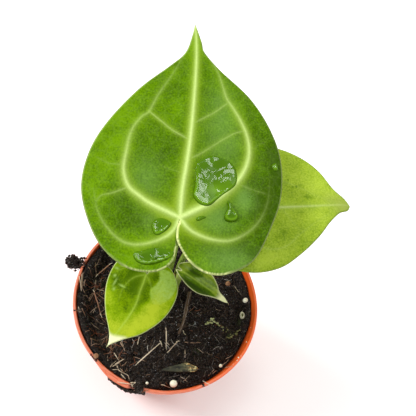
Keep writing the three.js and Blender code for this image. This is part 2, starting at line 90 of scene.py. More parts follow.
# Straws: both ends and paleness
STRAWS = {
    "straw_1": ((-11.3, -26.5), (-2.3, -17.8), 0.8), "straw_2": ((0.6, -11.8), (0.8, -19), 0.75),
    "straw_3": ((5.6, -16.4), (2, -20.6), 0.5), "straw_4": ((-17.6, -25.1), (-22.5, -28.6), 0.65),
    "straw_5": ((-27.5, -6), (-31, 4.5), 0.12), "straw_6": ((-30, 12), (-24.5, 17.5), 0.15),
}
STRAW_RADIUS = 0.35
BARK = dict(x=6.6, y=-28.3, turn=6, thickness=1.5,
            outline=[(-7.8, 0), (-4, 1.2), (0, 2), (3.4, 2.4), (5.6, 1.4), (7.8, -0.2), (6.4, -1.6),
                     (1, -1.5), (-4, -1.1)])
DEAD_ROOT = dict(radius=0.45, path=[(10.6, 6), (9.5, 0.2), (8.7, -4.4), (7.4, -9), (5.9, -13.2)])
CLUMP_LEFT = dict(angle=158, radius=3.5, z=55.8, crumbs=120, bridge=46, fibres=26)
CLUMP_FRONT = dict(start=233, end=256, radius=1.35, z=53, crumbs=110)
# The upper part of the front clod, which hangs over the lip
SMEAR = dict(start=236, end=258, radius=40.9, bulge=0.6, front=39.3, low=54.6, high=56.6, crumbs=90)
RIM_CRUMB = dict(angle=254, radius=1.6, crumbs=60)

# Blades. u runs along the midrib from the petiole to the tip, v across it, positive on the right.
BLADES = {
    "blade_large": dict(
        attach=(-4.1, 9.5, 128.0), heading=4.3, length=96.0, half_width=37.0,
        rise=6.0, droop=32.0, curl=0.0, back=-6.0, cup=-14.0, fold=0.0, lift=2.0,
        left=[(96, 0), (87, -1), (75, -3.5), (66, -9.5), (53, -20.5), (37, -31), (24, -36.5),
              (10, -38), (-2.5, -34.5), (-14, -27.5), (-21, -17.5), (-21.5, -7), (-17, -0.9),
              (-9, -0.4), (-2, -0.2)],
        right=[(96, 0), (83, 3), (76.5, 4.5), (67.5, 11.5), (56.5, 24), (44, 33), (31, 38.2),
               (16, 39.2), (2.5, 36), (-11.5, 30), (-18.5, 20.5), (-19.5, 12), (-15.5, 4.3),
               (-9, 0.5), (-2, 0.2)],
    ),
    "blade_side": dict(
        attach=(17.5, 22.4, 108.0), heading=82.3, length=53.5, half_width=27.0,
        rise=8.0, droop=25.0, curl=25.0, back=-4.0, cup=-14.0, fold=0.0, lift=1.0,
        left=[(53.5, 0), (50.5, -3), (46, -7), (41.5, -15), (35.5, -21.5), (26, -27.3), (14, -30),
              (2, -28), (-7, -22.5), (-11.5, -13), (-9.5, -3.5), (-5, -0.4), (-1.5, -0.2)],
        right=[(53.5, 0), (51, 2.5), (46.5, 4), (41.5, 8), (36, 13.7), (28, 20), (19, 25),
               (9, 26.3), (0, 24), (-8, 18), (-11, 9.5), (-8.5, 2.2), (-4.5, 0.4), (-1.5, 0.2)],
    ),
    "blade_front": dict(
        attach=(-11.6, 2.3, 84.0), heading=206.3, length=34.0, half_width=15.0,
        rise=4.0, droop=28.0, curl=15.0, back=-4.0, cup=-12.0, fold=0.0, lift=0.5,
        left=[(34, 0), (32, -1), (28, -4.5), (22.5, -10), (14, -14.4), (6, -15.7), (-1, -14.5),
              (-6, -10.5), (-8.2, -6), (-6, -1.4), (-3.5, -0.35), (-1.2, -0.2)],
        right=[(34, 0), (31, 0.3), (27.3, 2.3), (22, 6.7), (15.5, 10.6), (8.5, 13), (1, 13.4),
               (-5, 11), (-8, 6.5), (-6, 1.6), (-3.5, 0.35), (-1.2, 0.2)],
    ),
    "blade_young": dict(
        attach=(4.2, 7.9, 76.0), heading=121.7, length=23.7, half_width=8.0,
        rise=2.0, droop=20.0, curl=0.0, back=0.0, cup=35.0, fold=15.0, lift=0.0,
        left=[(23.7, 0), (21, -1.1), (18, -1.7), (15, -3.8), (11, -5.6), (6, -6.4), (1.5, -5.4),
              (-2, -3), (-2.8, -1.2), (-2, -0.3), (-0.9, -0.2)],
        right=[(23.7, 0), (21.5, 1), (18.5, 1.8), (15.5, 3.2), (10.5, 5.9), (6, 5.6), (1.5, 3.6),
               (-1.5, 1.9), (-2.4, 1), (-1.8, 0.3), (-0.9, 0.2)],
    ),
}

# Veins: the line in flat millimetres, its width at both ends, and how plainly it shows at even
# steps from the petiole's end to the far end.
LARGE_VEINS = [
    dict(line=[(-0.7, 0.3), (10.2, -0.1), (28, 0.9), (47.4, 1.2), (74.9, 1), (95.5, 0)],
         width=(1.55, 0.8), show=(0.95, 0.95, 0.85, 0.75, 0.6), main=True),
    dict(line=[(0, 0), (3.7, -10.4), (6.8, -15.9), (9.5, -19.7), (13.1, -21.8), (17.9, -22.9),
               (23.7, -22.6), (30.4, -22.1), (35, -20.9), (39.9, -18.1), (42.2, -15.7),
               (50.2, -13), (62.3, -7.8), (76, -3)],
         width=(1.6, 0.5), show=(1.0, 0.72, 0.3, 0.18, 0.04), main=True),
    dict(line=[(0, 0), (3.4, 5.1), (6.9, 10.1), (11.2, 15), (16.3, 19.4), (21.2, 22.4),
               (26.8, 24.2), (32.8, 24.5), (38.7, 23.1), (44.4, 20.3), (49.3, 17.2),
               (53.7, 14.2), (60.2, 12.1), (67.9, 9.4), (78, 3.4)],
         width=(1.9, 0.6), show=(1.0, 1.0, 0.72, 0.3, 0.06), main=True),
    dict(line=[(0, 0), (-3.4, -1.4), (-7, -3.6), (-9.6, -7.1), (-11.4, -11.2), (-12.2, -15.6),
               (-11.4, -20.1), (-8.5, -24.3), (-4.5, -28), (0.6, -30.9), (8, -33)],
         width=(1.3, 0.5), show=(0.9, 0.5, 0.3, 0.16, 0.04), main=True),
    dict(line=[(0, 0), (-4.1, 4.5), (-6, 9.3), (-6.6, 14), (-6.2, 18.6), (-4.5, 22.5),
               (-0.9, 27), (3.1, 30.2), (8.4, 32.6), (13.6, 33.7), (22, 33.8)],
         width=(1.3, 0.5), show=(0.9, 0.62, 0.28, 0.1, 0.03), main=True),
    dict(line=[(31.6, 1), (35.3, -5.7), (38.5, -10), (42.2, -15.7)],
         width=(0.7, 0.6), show=(0.42, 0.4, 0.48), main=False),
    dict(line=[(39.2, 1.6), (44.1, 7.1), (47.8, 11), (51.1, 14.3)],
         width=(0.7, 0.5), show=(0.3, 0.28, 0.3), main=False),
    dict(line=[(23.4, 0.6), (26.6, 5), (30.7, 9.4), (35, 13.9), (38.2, 17.8), (40, 21.5)],
         width=(0.7, 0.5), show=(0.34, 0.26, 0.3), main=False),
    dict(line=[(16.9, 0.8), (18.2, -2.8), (19.5, -8.2)],
         width=(0.5, 0.4), show=(0.16, 0.05), main=False),
    dict(line=[(9.3, -21), (7.2, -25.6), (5.5, -29.9), (2.6, -31.5)],
         width=(0.7, 0.5), show=(0.36, 0.28, 0.16), main=False),
    dict(line=[(18.5, -23), (18.9, -28.3), (21, -33)],
         width=(0.5, 0.4), show=(0.2, 0.06), main=False),
    dict(line=[(16.9, 22.1), (16.1, 27), (15.5, 32.1)],
         width=(0.55, 0.4), show=(0.22, 0.1), main=False),
    dict(line=[(31, 24.5), (36, 28.5), (38, 31.5)],
         width=(0.45, 0.35), show=(0.14, 0.05), main=False),
]
# The same net on the side and young blades, as parts of the blade's length and half width.
SMALL_VEINS = [
    dict(line=[(-0.01, 0), (0.29, 0.02), (0.62, 0.03), (0.97, 0)],
         width=(1.0, 0.5), show=(0.9, 0.8, 0.5, 0.2), main=True),
    dict(line=[(0, 0), (0.04, -0.28), (0.1, -0.53), (0.19, -0.62), (0.32, -0.59), (0.44, -0.43),
               (0.58, -0.28), (0.73, -0.11), (0.85, -0.03)],
         width=(0.8, 0.4), show=(0.6, 0.35, 0.15, 0.05), main=True),
    dict(line=[(0, 0), (0.07, 0.27), (0.17, 0.53), (0.28, 0.65), (0.41, 0.62), (0.52, 0.46),
               (0.63, 0.32), (0.79, 0.14), (0.87, 0.04)],
         width=(0.8, 0.4), show=(0.6, 0.35, 0.18, 0.05), main=True),
    dict(line=[(0, 0), (-0.07, -0.1), (-0.12, -0.3), (-0.12, -0.54), (-0.04, -0.76),
               (0.03, -0.86)],
         width=(0.7, 0.3), show=(0.6, 0.3, 0.1), main=True),
    dict(line=[(0, 0), (-0.06, 0.25), (-0.06, 0.5), (-0.01, 0.73), (0.08, 0.87), (0.14, 0.91)],
         width=(0.7, 0.3), show=(0.6, 0.3, 0.1), main=True),
    dict(line=[(0.34, 0.02), (0.38, -0.2), (0.44, -0.43)],
         width=(0.5, 0.35), show=(0.22, 0.12), main=False),
    dict(line=[(0.41, 0.03), (0.47, 0.23), (0.53, 0.39)],
         width=(0.5, 0.35), show=(0.22, 0.12), main=False),
]
# How plainly the lesser veins show, and all but the midrib on the small blades
LESSER_SHOW = 0.75
SMALL_SHOW = 0.45
# The front blade's midrib bows to one side.
FRONT_VEINS = [
    dict(line=[(0, 0), (3.9, -0.7), (7.8, -1.2), (12.7, -2.2), (18.3, -2.2), (24, -1.5), (33, 0)],
         width=(0.75, 0.5), show=(0.8, 0.7, 0.75, 0.6, 0.1), main=True),
    dict(line=[(0, 0), (2.6, 3.1), (5.6, 4.7), (10, 5.4), (16, 4.4)],
         width=(0.6, 0.4), show=(0.45, 0.3, 0.08), main=True),
    dict(line=[(0, 0), (2.5, -3.2), (5.5, -5.4), (10, -7), (17, -6.2)],
         width=(0.6, 0.4), show=(0.4, 0.16, 0.06), main=True),
    dict(line=[(0, 0), (-1.6, 3.4), (0, 8), (4.5, 11)], width=(0.6, 0.4), show=(0.4, 0.12), main=True),
    dict(line=[(0, 0), (-3, -2.5), (-4.2, -7), (-0.6, -11.5)],
         width=(0.6, 0.4), show=(0.35, 0.1), main=True),
]

# Water on the large blade: outline, depth, height of its ripples, and the outlines of the patches
# where its surface lies level. Places are pixels of the photograph, but flat
# millimetres where a drop says so. Where given, reach says how far in from the edge the skin
# rises, and grow how much wider the level patches are.
WATER = [
    dict(outline=[(197.5, 162), (205, 157), (214, 155), (222, 157), (229, 160.5), (234, 166),
                  (236.5, 173), (237, 180), (235, 186), (230, 190.5), (223, 195), (217, 200),
                  (211, 205), (205, 206.5), (199, 204), (194.5, 199), (193, 194), (194.5, 186),
                  (196, 178), (195.5, 170)],
         depth=0.55, ripple=0.42, level=[
            [(197, 177), (199, 174.5), (203, 172), (207, 169.5), (209.5, 169.5), (210, 171),
             (206, 173.5), (203, 176), (203, 179), (200.5, 178.5)],
            [(209, 173.6), (212, 171.6), (215, 170.5), (217, 171), (216, 172), (212, 173),
             (209.5, 174.3)],
            [(214.8, 174.8), (213, 178), (211.5, 180), (209, 183), (211, 183), (213, 180.5),
             (214.5, 178), (215.6, 175)],
            [(206, 179.5), (207.5, 177), (210, 175.4), (211, 175.5), (208.5, 177), (206.8, 179.5)],
            [(202.5, 183), (204.5, 183.5), (206, 185.5), (204.5, 186)],
            [(193.8, 189.6), (196, 190), (199, 190.5), (199.5, 192), (203, 195), (206, 197.3),
             (209, 197.3), (209, 198.5), (206, 198.6), (202.5, 196), (199, 193), (195.5, 191.4)],
            [(224, 170), (227, 168), (228.3, 163.5), (229.6, 163), (230, 167.5), (233, 166.5),
             (233.6, 171), (234.6, 176), (233.5, 178.5), (231.8, 177), (231.5, 174.8),
             (228.5, 173.8), (226, 174.5), (223.5, 175.5), (222.8, 172.6)],
            [(220, 175), (223, 174.5), (222.5, 178), (224, 179), (227, 178), (230, 178), (231, 182),
             (229, 181), (226, 180), (223.5, 181.5), (221.5, 184), (220.3, 183.5), (221.6, 180.5),
             (221, 178)],
            [(217.5, 178), (219.5, 177.5), (220, 180), (218.5, 180.6)]]),
    dict(outline=[(228, 201), (231, 203), (233, 207), (235.5, 211), (238, 214.5), (238.3, 218),
                  (236, 221), (232, 222), (228, 221.5), (225, 219.5), (224.3, 216), (225.8, 212),
                  (228, 208.5), (227.8, 205), (226.8, 203.5)],
         depth=1.1, ripple=0.0, reach=0.5, grow=0.25, level=[
            [(228, 202.5), (229.5, 202), (230, 205), (230.4, 208), (230.2, 212), (229.3, 215),
             (228.4, 216), (227.6, 215.2), (228.4, 212), (228.8, 208), (228.6, 205.5),
             (227.4, 204.3)],
            [(232.5, 212.5), (234, 214.6), (237, 213), (236.8, 214), (234, 215.8), (232.6, 214.4)]]),
    dict(outline=[(28.3, 34.4), (29.6, 36.1), (28.1, 37), (26.4, 37.1), (25.9, 35.4)], millimetres=True,
         depth=0.8, ripple=0.02, level=[[(28.4, 34.8), (27, 35.4), (27.4, 36.4), (29, 36)]]),
    dict(outline=[(133, 255), (136, 251.5), (141, 251), (148, 249), (155, 247.8), (162, 248.5),
                  (168, 250), (173, 251.5), (173.5, 254.5), (169, 258.5), (163, 261.5), (155, 264),
                  (147, 265), (141, 264), (136, 261)],
         depth=0.5, ripple=0.1, reach=0.55, grow=0.3, level=[
            [(134, 255.5), (136, 253), (140, 253), (140.5, 254.5), (139, 257), (141, 260),
             (144, 261.5), (147, 262), (151, 261.7), (154, 260), (158, 259.5), (164, 258),
             (168, 256.5), (172, 254.6), (172, 255.6), (168, 258), (163, 260), (158, 261),
             (153, 262.5), (147, 263.5), (143, 263), (139, 261.5), (136, 259)],
            [(155, 249), (156.5, 249.5), (157.3, 253), (157, 256.3), (168, 255), (168, 256),
             (158, 257.3), (155.5, 258.5), (152.5, 260), (152, 259.4), (155, 257), (155.6, 253)],
            [(149, 254.5), (151, 255.5), (152, 257.5), (150.8, 257.6), (149.2, 256)],
            [(141, 256), (142.5, 257), (143.6, 259), (142.6, 259.4), (141.2, 257.6)],
            [(168, 252), (170.5, 253), (172, 252.2), (171.5, 253.6), (169.5, 254.6)]]),
    dict(outline=[(151.5, 227), (152.5, 222), (156, 219), (161, 218), (166, 219.5), (171, 222.5),
                  (170, 226), (166, 230.5), (161, 234), (156.5, 235.5), (153.5, 233)],
         depth=0.5, ripple=0.1, reach=0.55, grow=0.3, level=[
            [(154, 222.5), (156.5, 221), (157, 223), (156, 225), (156.8, 228), (156, 230.5),
             (155.8, 232.5), (154.8, 231.8), (153, 229.5), (153.2, 227.5), (154.6, 226),
             (153.8, 224.4)],
            [(161, 226), (162.2, 226.5), (161.8, 228), (161, 227.6)],
            [(160, 229.8), (162, 229.5), (165, 228), (168, 225.6), (171.5, 224), (169, 226.4),
             (165, 229.4), (162, 231.2), (160.6, 231.2)]]),
    dict(outline=[(195.7, 219), (199, 216.5), (204, 216), (206, 217.5), (202, 219.5), (198, 221)],
         depth=0.3, ripple=0.02, level=[]),
]
# The line that the finest drops lie along
MIST = [(11.8, 27.1), (16.2, 28.5), (20.9, 30.6)]

# How each blade is finished: its thickness, the depth of the dishes between the veins and the
# spacing of its mesh
FINISH = {
    "blade_large": dict(thick=0.5, dish=1.1, step=0.56),
    "blade_side": dict(thick=0.45, dish=0.8, step=0.6),
    "blade_front": dict(thick=0.4, dish=0.35, step=0.42),
    "blade_young": dict(thick=0.35, dish=0.1, step=0.3),
}

# Leaf colours, and how strongly the vein, its halo and the margin show. Light and dark also serve
# painted light and shade, and pale is the colour of the painted sheen and painted reflections.
LARGE = dict(base="#486c00", light="#608700", dark="#2f4b00", pale="#6a9040", halo="#84a01e",
             halo_share=0.66, vein="#c6dc88", vein_share=0.95, margin="#f2f6ac", margin_share=0.3,
             under="#7d9a48", under_vein="#a9bc72", shine=0.015)
SIDE = dict(base="#8aa526", light="#a6bd3a", dark="#5f7f10", pale="#93a048", halo="#8eaa3c",
            halo_share=0.4, vein="#ccd992", vein_share=0.8, margin="#a5b94c", margin_share=0.4,
            under="#8ba04c", under_vein="#aab873", shine=0.015)
FRONT = dict(base="#7fa000", light="#b3c42c", dark="#436200", pale="#a9c865", halo="#84a412",
             halo_share=0.35, vein="#b4d050", vein_share=0.75, margin="#f3f3c4", margin_share=0.55,
             under="#96a948", under_vein="#b3c070", shine=0.04)
YOUNG = dict(base="#4d6e00", light="#98ae30", dark="#2d4600", pale="#9db06c", halo="#5f7c1c",
             halo_share=0.4, vein="#a9be52", vein_share=0.75, margin="#f7f5c0", margin_share=0.8,
             under="#65803a", under_vein="#8da050", shine=0.08)

# Distances inside a blade's margin at which its mesh has a row of points
MARGIN_ROWS = (0.12, 0.32, 0.6, 1.0)
MARGIN_STEP = 0.45
WATER_STEP = 0.21
MIST_DROPS = 70

# Places round the pot are angles in degrees, counted from the right over the back.
# The lip is pressed outwards between four angles: it starts, is full, is still full, has ended.
LIP_PRESS = (220, 238, 246, 254)
# Soft bumps of the lip's radius: angle, width and size
LIP_BUMPS = ((338, 28, 0.4), (165, 15, -0.2))
# The stretch of the lip painted a brighter orange as painted light, with fewer painted highlights: angle
# and width
PAINTED_LIGHT_SIDE = (345, 42)
# The mix is heaped against the wall on the left, between four such angles and by a factor more than
# on the far right, which has four angles of its own
BANK_LEFT = (100, 140, 225, 255, 1.5)
BANK_RIGHT = (324, 352, 40, 70)
BANK_HEIGHT = 3.4

# How finely the pot and the soil are divided, and how many loose things lie on the mix
POT_SIDES = 288
SOIL_SIDES = 480
SOIL_STEP = 0.36
CRUMBS = 1700
# Crumbs painted near-white as glints of the wet mix, and how many of them gather at the wet spots
PAINTED_GLINT_CRUMBS = 110
GLINT_CRUMBS_AT_WET_SPOTS = 60
FIBRES = 3000
LOOSE_STRANDS = 165

# Dirt on the wall: angle, width and strength
WALL_MARKS = ((157, 4, 0.75), (221.5, 2, 0.9), (250, 4, 0.7), (256, 2.5, 0.9), (294.5, 1, 0.8))
# Crumbs on the lip: angle, spread, least and greatest radius, count
LIP_CRUMBS = ((221, 1.5, 37.2, 40.0, 50), (157, 2.2, 38.4, 40.4, 26), (188.5, 0.4, 38.6, 39.8, 5),
              (294.5, 0.3, 38.7, 39.9, 9), (251, 2.0, 38.6, 40.4, 22))
# Pale specks on the lip: angle, radius, height, size
LIP_SPECKS = ((321.5, 39.3, 58.05, 0.22), (323.5, 39.0, 58.05, 0.3), (325.5, 39.5, 57.9, 0.2),
              (335.7, 38.6, 57.0, 0.24), (346, 38.4, 56.6, 0.14), (318, 39.1, 58.0, 0.14))
# Threads over the lip: radius, angle and height of both ends, thickness, paleness
LIP_THREADS = (
    ((40.9, 241, 57.9), (39.2, 250, 58.7), 0.14, 0.7), ((40.6, 243, 58), (39.4, 248.5, 58.6), 0.12, 0.5),
    ((39.9, 250.5, 58.5), (38.2, 249, 58), 0.18, 0.6), ((40.6, 256.5, 57), (39, 260.5, 58.3), 0.22, 0.05),
    ((40.9, 252, 57), (39.6, 257, 58.4), 0.2, 0.1), ((38.9, 166, 58.2), (36.6, 175, 57), 0.18, 0.7),
    ((38.2, 164, 57.8), (36.8, 173, 57), 0.16, 0.5), ((40, 188, 58.2), (36.4, 189.5, 57.2), 0.14, 0.3),
    ((37.6, 186, 57.2), (36.6, 193, 57), 0.14, 0.6), ((40.3, 298.3, 58.3), (37.4, 295.5, 57.6), 0.2, 0.75),
    ((39.4, 316.5, 58.2), (37.6, 313.3, 56), 0.2, 0.4),
    ((42.6, 162.5, 56.5), (39.8, 165.5, 58.2), 0.12, 0.35),
    ((40.4, 154, 57.6), (38.4, 155.5, 58.2), 0.14, 0.1),
    ((40.6, 159.5, 57.4), (38.6, 158, 58.2), 0.14, 0.1),
    ((39.8, 249.5, 57.8), (37.2, 252, 57.9), 0.16, 0.8),
)
# Moss on the mix: place and size
MOSS = ((29.5, -12.2, 4.5), (33, -6, 3.0), (14.1, -20.5, 3.6), (-27.0, 8.0, 3.0))
# Wet spots of the mix, where the crumbs with painted glints gather
WET_SPOTS = ((6.2, -1.8), (8.6, -5.4), (7.2, -8.2), (14.5, -9.6), (17, -10.4))
# Thin straws and fibres that show plainly: route, radius and paleness
STRANDS = [
    ([(-31.6, -17.4), (-28.2, -17.3)], 0.165, 0.225), ([(-31.2, -20.8), (-27.1, -18.3)], 0.195, 0.25),
    ([(-26.6, -18.6), (-25, -15.1)], 0.18, 0.225), ([(-31.4, -17.2), (-31, -20.4)], 0.105, 0.2),
    ([(-21.2, -22.2), (-19, -25.1)], 0.24, 0.95), ([(-21.8, -28.8), (-17.4, -24.5)], 0.26, 0.8),
    ([(-22.9, -29.2), (-20.3, -25.5)], 0.2, 0.6), ([(-21.7, -30.1), (-19.4, -29.8)], 0.2, 0.9),
    ([(-19.9, -27.9), (-18.8, -30.1), (-15.3, -31.5), (-14.4, -33.4)], 0.22, 0.7),
    ([(-18.6, -28.7), (-16.6, -30.8)], 0.18, 0.75), ([(-18.3, -28.4), (-17, -26.7)], 0.18, 0.5),
    ([(-18, -31.4), (-16, -33.5)], 0.18, 1.0), ([(-11.4, -18.1), (-10.8, -15)], 0.26, 0.9),
    ([(-18.7, -17.6), (-17.9, -19), (-16.7, -21.2)], 0.24, 0.35),
    ([(-13.8, -34.4), (-10.9, -34.2)], 0.22, 0.85), ([(-33.9, -14.9), (-31, -13)], 0.15, 0.175),
    ([(-1.9, -15.7), (-0.2, -19.9)], 0.22, 0.9), ([(0.8, -16.2), (2.3, -17.8)], 0.16, 0.8),
    ([(8, -11), (9.3, -12.9)], 0.22, 0.95), ([(9.1, -19.2), (9.2, -24.7)], 0.16, 0.6),
    ([(8.8, -16.1), (12.4, -16.2), (15.8, -15.8)], 0.2, 0.3), ([(26.9, -22.3), (29.9, -20.8)], 0.15, 0.6),
    ([(24.9, -25.6), (28.3, -22.6)], 0.18, 0.5), ([(19.4, -30), (21.8, -27.3)], 0.18, 0.55),
    ([(21.3, -28.8), (23, -27.5)], 0.14, 0.6), ([(7.3, -30.8), (10.8, -33.6)], 0.12, 0.7),
    ([(8.6, -32.9), (11.2, -30.6)], 0.12, 0.7), ([(-1, -34.9), (3.4, -35.9)], 0.24, 0.5),
    ([(-36.2, 11.4), (-36.3, 6.5), (-35.8, 4.2), (-33.6, 2)], 0.15, 0.375),
    ([(-31, 16.9), (-30.2, 12)], 0.18, 0.275), ([(-30.3, 5.5), (-32.7, 0)], 0.15, 0.3),
    ([(-34.6, -0.1), (-34.9, -2.6)], 0.225, 0.325), ([(-35.9, -4.6), (-34, -7.6)], 0.135, 0.2),
    ([(-35, 8.4), (-35.6, 5.6)], 0.15, 0.25), ([(-34, 14), (-32, 11)], 0.12, 0.2),
    ([(-33, 9), (-30, 8.4)], 0.12, 0.175),
]
# Green bits on the mix: place, size and how dark they are
LITTER = ((18.8, -7.3, 0.45, 0.45), (20.0, -6.9, 0.5, 0.4), (21.9, -6.9, 0.42, 0.35),
          (20.9, -5.6, 0.5, 0.3), (22.9, -7.3, 0.4, 0.55), (23.5, -7.9, 0.35, 0.6),
          (29.5, -12.2, 0.5, 0.9), (31.0, -11.2, 0.4, 0.95), (33, -9.8, 0.45, 0.9),
          (28.2, -13.4, 0.35, 0.95), (25, -9.5, 0.3, 0.8), (27.5, -9.8, 0.3, 0.9))
# Rootlets laid along the dead root: sideways shift, first and last share of its length, paleness
ROOTLETS = ((0.55, 0.0, 0.8, 0.62), (-0.6, 0.1, 0.95, 0.3), (1.0, 0.3, 1.0, 0.36),
            (-1.05, 0.0, 0.6, 0.5), (0.25, 0.5, 1.0, 0.7), (1.4, 0.05, 0.5, 0.3))
# The loose pieces stay within the part's least x, y and z.
LEAST = (-44.3, -39.95, 0.0)

# Studio, in metres: each light's place, aim, size and power
LIGHTS = {
    "key": ((-1.9, 0.75, 1.75), (0, 0.03, 0.08), (1.1, 1.1), 58),
    "panel": ((1.25, 1.0, 1.95), (0.0, 0.03, 0.1), (1.1, 1.1), 12),
}
# A window of four panes
PANES = dict(centre=(0.38, 1.0, 2.3), shift=(0.11, 0.12), aim=(0.0, 0.03, 0.1), size=(0.17, 0.18),
             power=3.2)
FLOOR_HALF = 3.0
WORLD_LIGHT = 0.75


def linear(colour):
    """A hex colour as linear RGBA."""
    values = [int(colour[i:i + 2], 16) / 255 for i in (1, 3, 5)]
    return tuple(c / 12.92 if c <= 0.04045 else ((c + 0.055) / 1.055) ** 2.4 for c in values) + (1.0,)


# Lines and flat shapes

def length_along(line):
    """The length from a line's start to each of its points."""
    return np.concatenate([[0], np.cumsum(np.linalg.norm(np.diff(line, axis=0), axis=1))])


def even(line, step):
    """Points at even steps along a fine line."""
    run = length_along(line)
    at = np.linspace(0, run[-1], max(2, int(round(run[-1] / step)) + 1))
    return np.column_stack([np.interp(at, run, line[:, k]) for k in range(line.shape[1])])


def spline(points, step, closed=False):
    """Points at even steps along a smooth line through the given ones."""
    p = np.asarray(points, float)
    if closed:
        ends = np.vstack([p[-1:], p, p[:2]])
    else:
        ends = np.vstack([p[:1], p, p[-1:]])
    t = np.linspace(0, 1, 24, endpoint=False)[:, None]
    parts = []
    for i in range(len(ends) - 3):
        p0, p1, p2, p3 = ends[i:i + 4]
        v0 = (p2 - p0) / 2
        v1 = (p3 - p1) / 2
        bend = (2 * p1 - 2 * p2 + v0 + v1) * t ** 3 + (3 * p2 - 3 * p1 - 2 * v0 - v1) * t ** 2
        parts.append(bend + v0 * t + p1)
    last = ends[-2:-1] if closed else p[-1:]
    return even(np.vstack(parts + [last]), step)


def nearest(points, line):
    """Distance from each point to a line, and the share of the line's length where it is least."""
    best = np.full(len(points), np.inf)
    along = np.zeros(len(points))
    steps = np.linalg.norm(np.diff(line, axis=0), axis=1)
    run = np.concatenate([[0], np.cumsum(steps)])
    for i in range(len(line) - 1):
        way = line[i + 1] - line[i]
        offset = points - line[i]
        t = np.clip(offset @ way / (way @ way), 0, 1)
        gap = np.hypot(*(offset - t[:, None] * way).T)
        closer = gap < best
        best[closer] = gap[closer]
        along[closer] = (run[i] + t[closer] * steps[i]) / run[-1]
    return best, along


def to_edge(points, loop):
    """Distance from each point to a closed loop."""
    return nearest(points, np.vstack([loop, loop[:1]]))[0]


def circle(radius, count):
    """A closed loop of points round the origin."""
    turns = np.arange(count) * math.tau / count
    return np.array([(radius * math.cos(turn), radius * math.sin(turn)) for turn in turns])


def wander(start, heading, step, bends):
    """A flat line of even steps that turns by each bend in turn."""
    line = [start]
    for bend in bends:
        heading += bend
        line.append(line[-1] + step * np.array([math.cos(heading), math.sin(heading)]))
    return np.array(line)


def inside(points, loop):
    """Which points lie inside a closed loop."""
    result = np.zeros(len(points), bool)
    x, y = points.T
    for (x0, y0), (x1, y1) in zip(loop, np.roll(loop, -1, axis=0)):
        if y0 != y1:
            crosses = ((y0 > y) != (y1 > y)) & (x < (x1 - x0) * (y - y0) / (y1 - y0) + x0)
            result ^= crosses
    return result


def spread(batches):
    """Keeps the points of each batch that lie at least its gap from all kept before."""
    cell = 0.7
    kept = []
    cells = {}
    for points, gap in batches:
        least = gap * gap
        for x, y in points.tolist():
            i = int(x // cell)
            j = int(y // cell)
            near = (
                other for a in (i - 1, i, i + 1) for b in (j - 1, j, j + 1)
                for other in cells.get((a, b), ())
            )
            if all((x - p) ** 2 + (y - q) ** 2 >= least for p, q in near):
                cells.setdefault((i, j), []).append((x, y))
                kept.append((x, y))
    return np.array(kept)


def hexagons(low, high, step):
    """A triangular net of points over a box."""
    rows = []
    height = step * math.sqrt(3) / 2
    for k, y in enumerate(np.arange(low[1], high[1], height)):
        x = np.arange(low[0] + (k % 2) * step / 2, high[0], step)
        rows.append(np.column_stack([x, np.full(len(x), y)]))
    return np.vstack(rows)


def offset_rows(line, offsets, closed=False):
    """Copies of a flat line moved sideways."""
    if closed:
        way = np.roll(line, -1, axis=0) - np.roll(line, 1, axis=0)
    else:
        way = np.gradient(line, axis=0)
    normal = np.column_stack([way[:, 1], -way[:, 0]])
    normal /= np.linalg.norm(normal, axis=1)[:, None]
    return [line + normal * offset for offset in offsets]


def triangulate(loop, points):
    """Triangles inside a loop through the given points: the points used and the triangles."""
    everything = np.vstack([loop, points])
    vectors = [Vector(p) for p in everything.tolist()]
    face = list(range(len(loop)))
    result = delaunay_2d_cdt(vectors, [], [face], 1, 1e-5)
    flat = np.array([tuple(v) for v in result[0]])
    return flat, np.array([tuple(f) for f in result[2]])


def shell(rim, triangles):
    """Faces of a closed shell over a flat net, and the points that its other side has of its own."""
    inner = np.where(~rim)[0]
    twin = np.arange(len(rim))
    twin[inner] = len(rim) + np.arange(len(inner))
    return inner, np.vstack([triangles, twin[triangles][:, ::-1]])


def sides_of(triangles):
    """The directed sides of the triangles."""
    return np.vstack([triangles[:, [0, 1]], triangles[:, [1, 2]], triangles[:, [2, 0]]])


def smooth(low, high, x):
    """0 below low, 1 above high and a smooth rise between them."""
    t = np.clip((np.asarray(x, float) - low) / (high - low), 0, 1)
    return t * t * (3 - 2 * t)


def between(x, start, full, still, end):
    """1 from full to still, falling smoothly to 0 at start and at end."""
    return smooth(start, full, x) * (1 - smooth(still, end, x))


def waves(points, scale, seed=0.0):
    """Smooth noise between about -1 and 1 at points of two or three coordinates."""
    wide = np.column_stack([points, np.zeros((len(points), 3 - points.shape[1]))]) / scale
    places = [Vector((x + seed, y - seed, z + 2 * seed)) for x, y, z in wide.tolist()]
    return np.array([noise.noise(place) for place in places])


# Meshes

def make(name, points, faces, replaces, material, attributes=None):
    """A smooth-shaded piece of the plant from points in millimetres."""
    mesh = bpy.data.meshes.new(name)
    mesh.from_pydata((np.asarray(points) * MM).tolist(), [], [tuple(f) for f in faces])
    mesh.validate()
    for key, values in (attributes or {}).items():
        values = np.asarray(values, np.float32)
        kind = "FLOAT" if values.ndim == 1 else "FLOAT_VECTOR"
        layer = mesh.attributes.new(key, kind, "POINT")
        layer.data.foreach_set("value" if values.ndim == 1 else "vector", values.ravel())
    mesh.polygons.foreach_set("use_smooth", np.ones(len(mesh.polygons), bool))
    piece = bpy.data.objects.new(name, mesh)
    bpy.context.scene.collection.objects.link(piece)
    mesh.materials.append(material)
    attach(piece, BODY)
    if replaces:
        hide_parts(*replaces)


def gather(parts):
    """Joins (points, faces, attributes) parts into one mesh."""
    points = []
    faces = []
    attributes = {}
    start = 0
    for place, triangles, values in parts:
        points.append(place)
        faces.append(np.asarray(triangles) + start)
        for key, value in values.items():
            attributes.setdefault(key, []).append(np.broadcast_to(value, (len(place),)))
        start += len(place)
    return np.vstack(points), np.vstack(faces), {k: np.concatenate(v) for k, v in attributes.items()}


